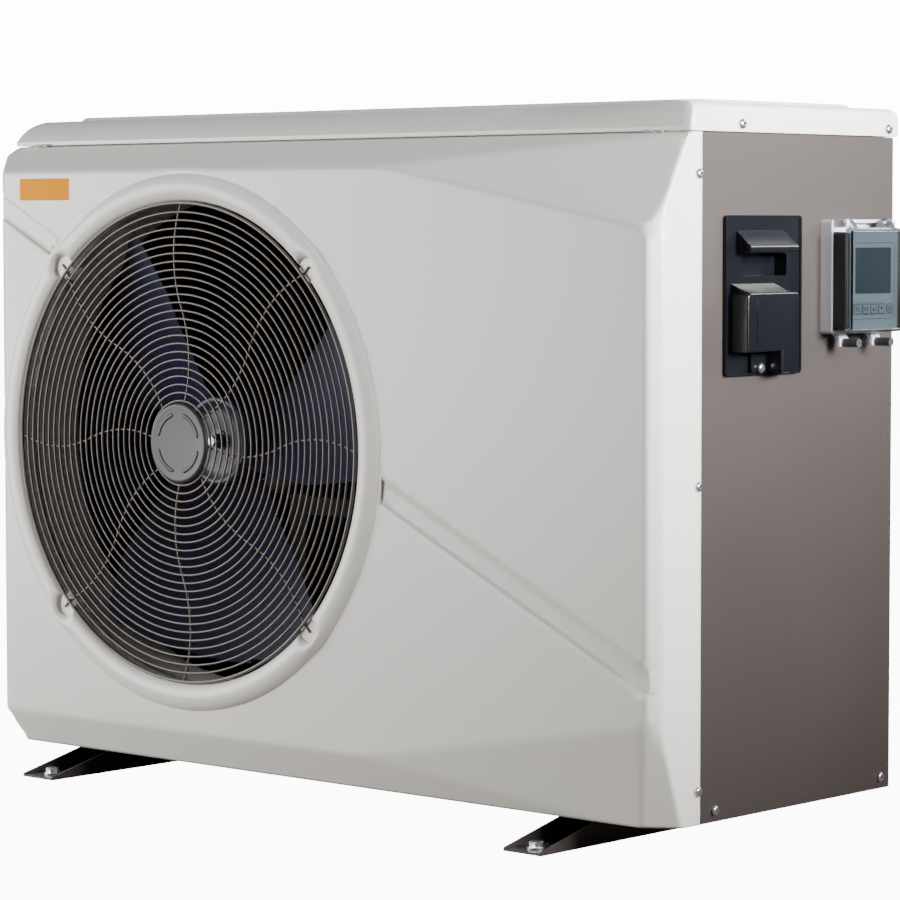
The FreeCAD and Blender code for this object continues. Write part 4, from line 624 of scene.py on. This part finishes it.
# ---- top cover -------------------------------------------------------------------------
LIP_H = 5.0              # upright lip along the front of the cover
FRONT_RISE = [(0.0, 0.0), (LIP_H, 0.0), (12.0, 6.5), (20.0, 17.6), (25.0, 28.0), (28.0, 37.6)]
CORNER_RISE = [(0.0, 0.0), (LIP_H, 0.0), (20.0, 2.6), (28.0, 5.0)]
STEEPER_FROM = 240.0
STEEPER_TO = 470.0
SHOULDER_R = 9.0
DECK_H = 28.0            # height of the deck round the pad
COVER_CORNER_R = 2.0
PAD_INSET = 30.0
PAD_CORNER = 26.0
PAD_FRONT = -85.0
PAD_BACK_INSET = 14.0


def cover_front(x, h, lip):
    """Front of the cover at a height over the seam; it steepens towards the right corner."""
    slope = np.interp(h, *zip(*FRONT_RISE))
    steep = np.interp(h, *zip(*CORNER_RISE))
    share = np.clip((x - STEEPER_FROM) / (STEEPER_TO - STEEPER_FROM), 0, 1)
    share = share * share * (3 - 2 * share)
    return lip + slope * (1 - share) + steep * share


def cover_loop(x0, x1, y1, r, front, cut):
    """Outline seen from above; cut is the width and depth of the front right corner."""
    long_run = np.linspace(0, 1, 90)
    short_run = np.linspace(0, 1, 40)
    turn = np.linspace(0, math.pi / 2, 8)[1:-1]
    xs = x0 + r + (x1 - cut[0] - x0 - r) * long_run
    points = [np.stack([xs, front(xs)], 1)]
    a = np.array([xs[-1], front(xs[-1])])
    b = np.array([x1, a[1] + cut[1]])
    knee = a * 0.2 + b * 0.2 + np.array([x1, a[1]]) * 0.6
    t = np.linspace(0, 1, 8)[1:-1, None]
    points.append((1 - t) ** 2 * a + 2 * t * (1 - t) * knee + t * t * b)
    ys = b[1] + (y1 - r - b[1]) * short_run
    points.append(np.stack([np.full(len(ys), x1), ys], 1))
    points.append(np.stack([x1 - r + r * np.cos(turn), y1 - r + r * np.sin(turn)], 1))
    back = x1 - r + (x0 + r - x1 + r) * long_run
    points.append(np.stack([back, np.full(len(back), y1)], 1))
    points.append(np.stack([x0 + r - r * np.sin(turn), y1 - r + r * np.cos(turn)], 1))
    low = front(np.array([x0 + r]))[0] + r
    ys = y1 - r + (low - y1 + r) * short_run
    points.append(np.stack([np.full(len(ys), x0), ys], 1))
    points.append(np.stack([x0 + r - r * np.cos(turn), low - r * np.sin(turn)], 1))
    return np.concatenate(points)


def top_cover():
    """Skin of the cover as a stack of loops, from the seam up to the sunken middle of the pad."""
    low, high = box_mm("top_cover")
    lip = low[1]
    loops = []
    for h, inset in ((0.9, 1.7), (0.7, 0.7), (1.1, 0.15), (1.7, 0.0)):
        loops.append((h, inset, inset))
    rise = (3.0, LIP_H - 0.6, LIP_H, LIP_H + 0.6, 7.0, 9.0, 11.0, 13.0, 15.0, 17.0)
    loops += [(h, 0.0, 0.0) for h in rise]
    for k in range(8):
        a = k / 7 * math.pi / 2
        loops.append((DECK_H - SHOULDER_R + SHOULDER_R * math.sin(a),
                      SHOULDER_R * (1 - math.cos(a)), 0.0))
    verts = []
    for h, side, front_in in loops:
        def front(x, h=h, front_in=front_in):
            return cover_front(x, h, lip + front_in)
        cut = (3.6 - 1.6 * h / DECK_H, 4.6)
        outline = cover_loop(low[0] + side, high[0] - side, high[1] - side, COVER_CORNER_R, front,
                             cut)
        verts.append(np.column_stack([outline, np.full(len(outline), SEAM + h)]))
    top = high[2] - SEAM
    pad = [(DECK_H, -2.4), (DECK_H + 0.25, -0.9), (DECK_H + 0.9, 0.0), (DECK_H + 1.4, 0.3),
           (top - 0.6, 3.1), (top - 0.1, 3.9), (top, 4.9), (top, 7.4), (top - 0.3, 8.2),
           (top - 2.6, 8.8), (top - 3.0, 9.6), (top - 3.0, 40.0)]
    for h, inset in pad:
        r = max(4.0, PAD_CORNER - inset)
        y0 = PAD_FRONT + inset

        def flat(x, y0=y0):
            return np.full(len(np.atleast_1d(x)), y0) if np.ndim(x) else y0
        outline = cover_loop(LEFT + PAD_INSET + inset, RIGHT - PAD_INSET - inset,
                             BACK - PAD_BACK_INSET - inset, r, flat, (r, r))
        verts.append(np.column_stack([outline, np.full(len(outline), SEAM + h)]))
    rows = len(verts)
    cols = len(verts[0])
    verts = np.concatenate(verts)
    faces = grid_faces(rows, cols, close_cols=True)
    faces.append(tuple(range((rows - 1) * cols, rows * cols)))
    obj = from_arrays("top_cover_moulding", verts, faces, "white_abs", "cabinet", "white_abs", 0)
    outward(obj)
    obj.data.set_sharp_from_angle(angle=math.radians(40))
    hollow(obj)
    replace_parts(obj, "top_cover")


# ---- wire guard ------------------------------------------------------------------------
WIRE_R = 1.1
RING_RADII = [44.0 + 8.5 * i for i in range(24)]
RIM_R = 249.0
SPOKE_START = 32.0
SPOKE_BULGE = 11.0
SPOKE_REACH = 260.0      # tip of a diagonal spoke, in its pocket
SPOKES = 8


def spoke_points(angle):
    """S-shaped wire; the diagonal ones go on into the pockets of the panel."""
    tip = SPOKE_REACH if round(math.degrees(angle)) % 90 else RIM_R + 1.2
    r = np.linspace(SPOKE_START, RIM_R, 72)
    middle = (SPOKE_START + RIM_R) / 2
    half = (RIM_R - SPOKE_START) / 2
    share = np.where(r < middle, (r - SPOKE_START) / half, (r - middle) / half)
    side = SPOKE_BULGE * 4 * share * (1 - share) * np.where(r < middle, -1, 1)
    r = np.concatenate([r, np.linspace(RIM_R + 0.6, tip, 5)])
    side = np.concatenate([side, np.zeros(5)])
    c = math.cos(angle)
    s = math.sin(angle)
    y = np.full(len(r), GUARD_Y + 2 * WIRE_R - 0.2)
    return np.stack([FAN_X + r * c - side * s, y, FAN_Z + r * s + side * c], 1)


def fan_guard():
    parts = []
    for r, wire in [(r, WIRE_R) for r in RING_RADII] + [(RIM_R, RIM_WIRE_R)]:
        turn = np.linspace(0, 2 * math.pi, max(96, int(r)), endpoint=False)
        path = np.stack([FAN_X + r * np.cos(turn), np.full(len(turn), GUARD_Y),
                         FAN_Z + r * np.sin(turn)], 1)
        parts.append(tube_along(path, wire, 10, closed=True))
    for i in range(SPOKES):
        parts.append(tube_along(spoke_points(math.radians(360 / SPOKES * i)), WIRE_R, 8))
    obj = from_arrays("fan_guard_wires", *merged(parts), "taupe_wire", "cabinet", "taupe_wire", 0)
    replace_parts(outward(obj), "fan_grille")


def guard_cap():
    low, high = box_mm("grille_cap")
    r = (high[0] - low[0]) / 2
    rim = low[1] + 1.0
    profile = [(0.01, rim + 0.9), (10, rim + 0.85), (20, rim + 0.7), (24.5, rim + 0.55)]
    profile += [(r - 7 + 0.01, rim + 0.45), (r - 4.4, rim + 0.1), (r - 3.2, rim + 0.05),
                (r - 1.6, rim + 0.5), (r - 0.6, rim + 1.3), (r - 0.1, rim + 2.6), (r, rim + 3.6),
                (r - 4, rim + 3.6), (r - 4, GUARD_Y + 0.9), (0.01, GUARD_Y + 0.9)]
    parts = [lathe_y(profile, (FAN_X, FAN_Z), 144, closed=False)]
    for i in range(4):
        parts.append(cap_arc(rim, math.radians(90 * i + 12), math.radians(90 * i + 78)))
    obj = from_arrays("guard_cap_disc", *merged(parts), "taupe_plastic", "cabinet",
                      "taupe_plastic", 40)
    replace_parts(outward(obj), "grille_cap")


CAP_ARC_R = 30.0


def cap_arc(rim, a0, a1):
    """One raised arc on the cap, tapered at both ends."""
    turns = np.linspace(a0, a1, 30)
    section = [(-2.6, 0.9), (-2.2, -0.1), (-1.0, -0.75), (1.0, -0.75), (2.2, -0.1), (2.6, 0.9)]
    verts = []
    for t in turns:
        end = min(t - a0, a1 - t) / (a1 - a0) * 14
        size = math.sqrt(min(1.0, end)) if end > 0 else 0.05
        for dr, dy in section:
            r = CAP_ARC_R + dr * size
            y = rim + 0.5 + (dy * size if dy < 0 else dy)
            verts.append((FAN_X + r * math.cos(t), y, FAN_Z + r * math.sin(t)))
    return np.array(verts), grid_faces(len(turns), len(section), close_cols=True)


# ---- fan -------------------------------------------------------------------------------
BLADE_STATIONS = np.array([(47.0, 100.0, 38.0, 2.0), (90.0, 142.0, 33.0, 10.0),
                           (160.0, 214.0, 27.0, 26.0), (238.5, 268.0, 22.0, 52.0)])
BLADE_Y = -118.0
BLADE_T = 3.0
TIP_R = 239.0
TIP_CORNER = 26.0        # length of the blade's rounded tip
FIRST_BLADE = 10.0
BLADES = 3
RIBS = 6
HUB_INSET = 6.0
HUB_DEPTH = 46.0


def blade_surface(turn):
    """Closed blade skin: rows by radius, columns round the section."""
    rows = 40
    half = 26
    radii = np.linspace(BLADE_STATIONS[0, 0], TIP_R, rows)
    verts = []
    for r in radii:
        chord, pitch, sweep = (np.interp(r, BLADE_STATIONS[:, 0], BLADE_STATIONS[:, k])
                               for k in (1, 2, 3))
        corner = max(0.0, (r - (TIP_R - TIP_CORNER)) / TIP_CORNER)
        shrink = 1 - 0.13 * (1 - math.sqrt(max(0.0, 1 - corner ** 2)))
        a = math.radians(pitch)
        loop = []
        for side, order in ((1, range(half + 1)), (-1, range(half - 1, 0, -1))):
            for i in order:
                u = 0.5 - 0.5 * math.cos(math.pi * i / half)
                s = (u - 0.5) * chord * shrink
                camber = chord * 0.05 * (1 - (2 * u - 1) ** 2)
                thick = BLADE_T / 2 * (1 - abs(2 * u - 1) ** 5) * (1.15 - 0.3 * r / TIP_R)
                across = camber + side * thick
                z = s * math.cos(a) - across * math.sin(a) + sweep
                y = BLADE_Y + s * math.sin(a) + across * math.cos(a)
                angle = z / r * (0.86 + 0.14 * r / TIP_R) + turn
                loop.append((FAN_X + r * math.cos(angle), y, FAN_Z + r * math.sin(angle)))
        verts.append(loop)
    cols = len(verts[0])
    faces = grid_faces(rows, cols, close_cols=True)
    faces.append(tuple(range(cols)))
    faces.append(tuple(range((rows - 1) * cols, rows * cols))[::-1])
    return np.array(verts).reshape(-1, 3), faces


def hub_rib(angle, front, back):
    """One straight web inside the hub."""
    c = math.cos(angle)
    s = math.sin(angle)
    verts = [(FAN_X + r * c + w * s, y, FAN_Z + r * s - w * c)
             for r in (11.0, 45.5) for w in (-1.1, 1.1) for y in (front + 11.5, back - 4)]
    faces = [(0, 1, 3, 2), (4, 6, 7, 5), (0, 4, 5, 1), (2, 3, 7, 6), (0, 2, 6, 4), (1, 5, 7, 3)]
    return np.array(verts), faces


def fan_wheel():
    front = HUB_LOW[1] + HUB_INSET
    back = front + HUB_DEPTH
    hub = [(5.1, front + 5.5), (9, front + 5.2), (30, front + 4.4), (37, front + 3.6),
           (40.5, front + 0.6), (43, front), (45.6, front + 0.5), (47.3, front + 2.2),
           (48, front + 5), (48, back - 1), (47.2, back), (45, back), (45, front + 12),
           (12, front + 12), (12, back - 6), (5.1, back - 6)]
    parts = [lathe_y(hub, (FAN_X, FAN_Z), 128)]
    for i in range(BLADES):
        parts.append(blade_surface(math.radians(FIRST_BLADE - 360 / BLADES * i)))
    for i in range(RIBS):
        parts.append(hub_rib(math.radians(360 / RIBS * i + 30), front, back))
    obj = from_arrays("fan_wheel_moulding", *merged(parts), "navy_plastic", "fan", "navy_plastic",
                      45)
    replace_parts(outward(obj), "fan_rotor")


# ---- screws ----------------------------------------------------------------------------
HEAD_H = 3.3
SHANK_R = 2.1
HEAD_SIDES = 48


def islands(node):
    """Bounds of each separate solid of a node, in millimetres."""
    bm = node_bmesh(node)
    left = set(bm.verts)
    found = []
    while left:
        stack = [left.pop()]
        group = [stack[0]]
        while stack:
            for edge in stack.pop().link_edges:
                for v in edge.verts:
                    if v in left:
                        left.remove(v)
                        stack.append(v)
                        group.append(v)
        co = np.array([v.co for v in group]) / MM
        found.append((co.min(0), co.max(0)))
    bm.free()
    found.sort(key=lambda b: tuple(np.round(b[0] + b[1], 1)))
    return found


def screw_head(head_r, head_h, shank_r, shank_len, turn):
    """Domed head on z = 0 with a cross recess, and its shank below."""
    sides = HEAD_SIDES
    angles = [2 * math.pi * i / sides for i in range(sides)]
    bm = bmesh.new()
    rings = []
    outline = [(shank_r, -shank_len), (shank_r, -0.2), (head_r * 0.96, 0.0),
               (head_r, 0.12 * head_h), (head_r, 0.32 * head_h), (head_r * 0.95, 0.55 * head_h),
               (head_r * 0.82, 0.78 * head_h), (head_r * 0.62, 0.93 * head_h),
               (head_r * 0.38, head_h), (head_r * 0.36, 0.99 * head_h)]
    for r, h in outline:
        rings.append([bm.verts.new((r * math.cos(a), r * math.sin(a), h)) for a in angles])
    for lower, upper in zip(rings, rings[1:]):
        for i in range(sides):
            bm.faces.new((lower[i], lower[(i + 1) % sides], upper[(i + 1) % sides], upper[i]))
    bm.faces.new(rings[0][::-1])
    star = []
    for a in angles:
        arm = abs(math.cos(2 * (a + turn))) ** 6
        r = head_r * (0.13 + 0.22 * arm)
        star.append(bm.verts.new((r * math.cos(a), r * math.sin(a), 0.985 * head_h)))
    pit = [bm.verts.new((v.co.x * 0.72, v.co.y * 0.72, head_h * 0.3)) for v in star]
    last = rings[-1]
    for i in range(sides):
        j = (i + 1) % sides
        bm.faces.new((last[i], last[j], star[j], star[i]))
        bm.faces.new((star[i], star[j], pit[j], pit[i]))
    bm.faces.new(pit)
    verts = np.array([v.co for v in bm.verts])
    bm.verts.index_update()
    faces = [tuple(v.index for v in f.verts) for f in bm.faces]
    bm.free()
    return verts, faces


def placed(part, spot, direction):
    """A part that stands on z = 0, moved to a spot and turned to a direction."""
    verts, faces = part
    turn = np.array(Vector((0, 0, 1)).rotation_difference(Vector(direction)).to_matrix())
    return verts @ turn.T + np.array(spot), faces


def cabinet_screws():
    parts = []
    for count, (low, high) in enumerate(islands("cabinet_screws")):
        size = high - low
        spread = [abs(np.subtract(*np.delete(size, i))) for i in range(3)]
        axis = int(np.argmin(spread))
        middle = (low + high) / 2
        out = 1.0 if middle[axis] > 0 else -1.0
        head_r = np.delete(size, axis)[0] / 2
        spot = middle.copy()
        spot[axis] = (high[axis] if out > 0 else low[axis]) - out * HEAD_H
        direction = [0.0, 0.0, 0.0]
        direction[axis] = out
        part = screw_head(head_r, HEAD_H, SHANK_R, size[axis] - HEAD_H, 0.35 + 0.9 * count)
        parts.append(placed(part, spot, direction))
    obj = from_arrays("cabinet_screws_cross", *merged(parts), "zinc", "cabinet", "zinc", 38)
    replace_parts(outward(obj), "cabinet_screws")


# ---- controller keys and their marks ---------------------------------------------------
def stroke(points, width, closed=False):
    """Flat ribbon along a 2D polyline, as outline quads."""
    p = np.asarray(points, float)
    if closed:
        tangent = np.roll(p, -1, 0) - np.roll(p, 1, 0)
    else:
        tangent = np.gradient(p, axis=0)
    tangent /= np.linalg.norm(tangent, axis=1)[:, None]
    side = np.stack([-tangent[:, 1], tangent[:, 0]], 1) * width / 2
    verts = np.concatenate([p + side, p - side])
    n = len(p)
    faces = [(i, (i + 1) % n, n + (i + 1) % n, n + i) for i in range(n if closed else n - 1)]
    return verts, faces


def arc(cx, cz, r, a0, a1, n=28):
    t = np.radians(np.linspace(a0, a1, n))
    return np.stack([cx + r * np.cos(t), cz + r * np.sin(t)], 1)


def rounded_rectangle(half_y, half_z, r):
    out = []
    for cx, cz, a in ((1, 1, 0), (-1, 1, 90), (-1, -1, 180), (1, -1, 270)):
        out.append(arc(cx * (half_y - r), cz * (half_z - r), r, a, a + 90, 8))
    return np.concatenate(out)


def raised(parts_2d, x, y, z, thick):
    """Flat marks in (y, z) standing out of the controller face along +X."""
    parts = []
    for verts, faces in parts_2d:
        n = len(verts)
        low = np.column_stack([np.full(n, x - 0.05), verts[:, 0] + y, verts[:, 1] + z])
        high = low + np.array([thick + 0.05, 0, 0])
        allv = np.concatenate([low, high])
        f = [tuple(i + n for i in face) for face in faces] + [tuple(face[::-1]) for face in faces]
        edges = {}
        for face in faces:
            for a, b in zip(face, face[1:] + face[:1]):
                edges[(a, b)] = True
        for a, b in edges:
            if (b, a) not in edges:
                f.append((a, b, b + n, a + n))
        parts.append((allv, f))
    return merged(parts)


def disc(points):
    return np.asarray(points, float), [tuple(range(len(points)))]


def rays(inner, outer, count, width):
    """Short strokes that point away from the middle."""
    turns = [(math.cos(a), math.sin(a)) for a in np.radians(np.arange(0, 360, 360 // count))]
    return [stroke([(inner * c, inner * s), (outer * c, outer * s)], width) for c, s in turns]


MARK_RAISE = 0.14
OUTLINE_RAISE = 0.12
KEY_MARKS = {
    "key_function": [stroke(arc(0, 0, 1.7, 0, 360 - 12.9), 0.8, True)] + rays(1.9, 2.9, 6, 0.7),
    "key_mode": [stroke([(-2.4, -2.2), (-2.4, 2.2)], 0.9), stroke([(2.4, -2.2), (2.4, 2.2)], 0.9),
                 stroke([(-1.2, 0), (1.2, 0)], 0.8), stroke([(0, -2.2), (0, 2.2)], 0.8)],
    "key_up": [disc([(-2.1, -1.9), (2.1, -1.9), (0, 2.3)])],
    "key_down": [disc([(-2.1, 1.9), (0, -2.3), (2.1, 1.9)])],
    "key_power": [stroke(arc(0, -0.2, 2.2, 130, 410), 0.9), stroke([(0, 0.2), (0, 2.8)], 0.8)],
}


def controller_keys():
    for node, marks in KEY_MARKS.items():
        low, high = box_mm(node)
        refined(node, 0.35, 2)
        half = (high[1] - low[1]) / 2
        outline_r = half - 1.0 if node == "key_power" else 1.6
        outline = rounded_rectangle(half - 0.7, half - 0.7, outline_r * 0.9)
        shapes = marks + [stroke(outline, 0.6, True)]
        verts, faces = raised(shapes, high[0], (low[1] + high[1]) / 2, (low[2] + high[2]) / 2,
                              MARK_RAISE)
        outward(from_arrays(node + "_mark", verts, faces, "print_dark", BODY_OF[node],
                            "key_plastic", 30))


FACE_MARGIN = 4.5        # from the keys and the display to the printed outline
SIDE_MARGIN = 5.5


def relook(obj, look, test):
    """Give the faces that pass a test of their middle and normal, in millimetres, another look."""
    obj.data.materials.append(LOOK[look])
    for face in obj.data.polygons:
        if test(np.array(face.center) / MM, face.normal):
            face.material_index = len(obj.data.materials) - 1


def controller_front():
    """Grey face plate on the controller body, whose sides and back are painted near black as shade.
    """
    body = refined("controller_body", 0.6, 3)
    low, high = box_mm("controller_body")

    def on_side(middle, normal):
        near_edge = middle[1] < low[1] + 6 or middle[1] > high[1] - 6 or middle[2] > high[2] - 6
        return middle[0] < high[0] - 4.0 or (abs(normal.x) < 0.5 and near_edge)

    # painted shade: faces set back from the front, and side faces near its edges, are made near
    # black
    relook(body, "painted_inner_shade", on_side)
    keys_low, _ = box_mm("key_function")
    _, glass_high = box_mm("controller_display")
    middle_y = (low[1] + high[1]) / 2
    line_low = keys_low[2] - FACE_MARGIN
    line_high = glass_high[2] + FACE_MARGIN
    middle_z = (line_low + line_high) / 2
    half_y = (high[1] - low[1]) / 2 - SIDE_MARGIN
    half_z = (line_high - line_low) / 2
    frame_line = rounded_rectangle(half_y, half_z, 3.0)
    verts, faces = raised([stroke(frame_line, 0.5, True)], high[0], middle_y, middle_z,
                          OUTLINE_RAISE)
    outward(from_arrays("controller_face_outline", verts, faces, "print_dark", "cabinet",
                        "controller_face", 30))


# ---- whole object ----------------------------------------------------------------------
REFINED = {                          # rounding of the edges: width and segments
    "foot_rail_left": (0.9, 3), "foot_rail_right": (0.9, 3), "foot_bolts": (0.3, 2),
    "base_pan": (0.5, 2), "drain_nozzle": (0.4, 2),
    "side_panel_right": (0.5, 2), "rear_panel": (0.5, 2), "corner_post": (0.5, 2),
    "partition_panel": (0.4, 2), "tube_sheets": (0.2, 1), "fan_shaft": (0.4, 2),
    "fan_motor": (0.8, 2), "motor_screws": (0.2, 1),
    "grille_clips": (0.6, 2), "compressor": (1.2, 3),
    "compressor_feet": (0.6, 2), "compressor_bolts": (0.3, 2), "accumulator": (0.6, 2),
    "heat_exchanger": (0.8, 2), "water_pipes": (0.4, 2), "union_sockets": (0.5, 2),
    "union_nuts": (0.5, 2), "flow_switch": (0.5, 2), "reversing_valve": (0.4, 2),
    "expansion_valve": (0.4, 2), "electrical_box": (0.6, 2), "control_board": (0.2, 1),
    "heat_sink": (0.2, 1), "handle_plate": (0.5, 2), "terminal_block": (0.4, 2),
    "terminal_cover": (0.8, 3), "cable_gland": (0.3, 2), "controller_base": (0.7, 3),
    "controller_display": (0.25, 2), "controller_lid": (0.6, 3),
    "lid_hinge_pins": (0.5, 2), "latch_front": (0.3, 2), "latch_rear": (0.3, 2),
    "warning_label": (0.08, 1), "coil_guard_rear": (0.35, 1), "coil_guard_left": (0.35, 1),
    "fan_shroud": (0.5, 2), "evaporator_fins": (0.0, 1), "evaporator_tubes": (0.0, 1),
    "titanium_coil": (0.0, 1), "refrigerant_pipes": (0.0, 1),
}


def build():
    front_panel()
    top_cover()
    fan_guard()
    guard_cap()
    fan_wheel()
    cabinet_screws()
    controller_keys()
    controller_front()
    refined("fan_nut", 0.5, 2, look="dull_zinc")
    refined("motor_bracket", 0.5, 2, look="motor_steel")
    for node, (width, segments) in REFINED.items():
        refined(node, width, segments)


# ---- studio ----------------------------------------------------------------------------
WORLD_LIGHT = 0.16
BACKDROP_LIGHT = 14.0
FLOOR_GLOW = 13.0
FLOOR_SHARE = 0.86
FLOOR_R = 30.0
FLOOR_DROP = 0.0005
SKY_TINT = (0.93, 0.96, 1.0, 1.0)
WHITE = (1.0, 1.0, 1.0, 1.0)
LAMPS = (                            # name, place, aim, size, power, spread in degrees
    ("front_softbox", (-2.0, -1.75, 0.55), (-0.3, -0.15, 0.4), (2.2, 1.4), 120.0, 180),
    ("side_softbox", (2.1, 0.0, 0.95), (0.48, -0.05, 0.85), (0.8, 0.5), 30.0, 66),
    ("rim_softbox", (1.6, 1.8, 1.4), (0.5, 0.0, 0.55), (0.6, 0.6), 4.0, 70),
    ("back_softbox", (0.1, 2.2, 2.6), (0.35, 0.0, 0.6), (2.2, 1.6), 16.0, 180),
)


def floor_look():
    """Pale matt floor that stays bright to the eye without lighting the object from below."""
    m = LOOK["floor"]
    nodes = m.node_tree.nodes
    links = m.node_tree.links
    glow = nodes.new("ShaderNodeEmission")
    glow.inputs["Strength"].default_value = FLOOR_GLOW
    path = nodes.new("ShaderNodeLightPath")
    share = nodes.new("ShaderNodeMath")
    share.operation = "MULTIPLY"
    share.inputs[1].default_value = FLOOR_SHARE
    mix = nodes.new("ShaderNodeMixShader")
    links.new(path.outputs["Is Camera Ray"], share.inputs[0])
    links.new(share.outputs["Value"], mix.inputs["Fac"])
    links.new(nodes["Principled BSDF"].outputs["BSDF"], mix.inputs[1])
    links.new(glow.outputs["Emission"], mix.inputs[2])
    links.new(mix.outputs["Shader"], nodes["Material Output"].inputs["Surface"])
    return m


def studio():
    bm = bmesh.new()
    bmesh.ops.create_circle(bm, cap_ends=True, radius=FLOOR_R, segments=96)
    mesh = bpy.data.meshes.new("studio_floor")
    bm.to_mesh(mesh)
    bm.free()
    mesh.materials.append(floor_look())
    floor = bpy.data.objects.new("studio_floor", mesh)
    floor.location = (0, 0, -FLOOR_DROP)
    bpy.context.scene.collection.objects.link(floor)
    world = bpy.data.worlds.new("studio")
    world.use_nodes = True
    nodes = world.node_tree.nodes
    sky = nodes["Background"]
    sky.inputs["Color"].default_value = SKY_TINT
    sky.inputs["Strength"].default_value = WORLD_LIGHT
    backdrop = nodes.new("ShaderNodeBackground")
    backdrop.inputs["Color"].default_value = WHITE
    backdrop.inputs["Strength"].default_value = BACKDROP_LIGHT
    path = nodes.new("ShaderNodeLightPath")
    mix = nodes.new("ShaderNodeMixShader")
    world.node_tree.links.new(path.outputs["Is Camera Ray"], mix.inputs["Fac"])
    world.node_tree.links.new(sky.outputs["Background"], mix.inputs[1])
    world.node_tree.links.new(backdrop.outputs["Background"], mix.inputs[2])
    world.node_tree.links.new(mix.outputs["Shader"], nodes["World Output"].inputs["Surface"])
    bpy.context.scene.world = world
    for name, spot, aim, size, power, spread in LAMPS:
        data = bpy.data.lights.new(name, "AREA")
        data.shape = "RECTANGLE"
        data.size = size[0]
        data.size_y = size[1]
        data.energy = power
        data.spread = math.radians(spread)
        lamp = bpy.data.objects.new(name, data)
        lamp.location = spot
        lamp.rotation_mode = "QUATERNION"
        lamp.rotation_quaternion = (Vector(aim) - Vector(spot)).to_track_quat("-Z", "Y")
        bpy.context.scene.collection.objects.link(lamp)


CAMERA_SPOT = (2.51305, -2.72663, 0.59159)
CAMERA_AZIMUTH = math.radians(42.031)
CAMERA_DOWN = math.radians(3.607)
CAMERA_ROLL = math.radians(0.05)
CAMERA_LENS = 141.47
CAMERA_SENSOR = 36.0


def camera():
    data = bpy.data.cameras.new("photo_camera")
    data.lens = CAMERA_LENS
    data.sensor_width = CAMERA_SENSOR
    data.clip_end = 200.0
    obj = bpy.data.objects.new("photo_camera", data)
    ahead = Vector((-math.sin(CAMERA_AZIMUTH) * math.cos(CAMERA_DOWN),
                    math.cos(CAMERA_AZIMUTH) * math.cos(CAMERA_DOWN), -math.sin(CAMERA_DOWN)))
    level = ahead.to_track_quat("-Z", "Y").to_matrix().to_4x4()
    turn = Matrix.Rotation(CAMERA_ROLL, 4, ahead) @ level
    obj.matrix_world = Matrix.Translation(Vector(CAMERA_SPOT)) @ turn
    bpy.context.scene.collection.objects.link(obj)
    bpy.context.scene.camera = obj


build()
studio()
camera()
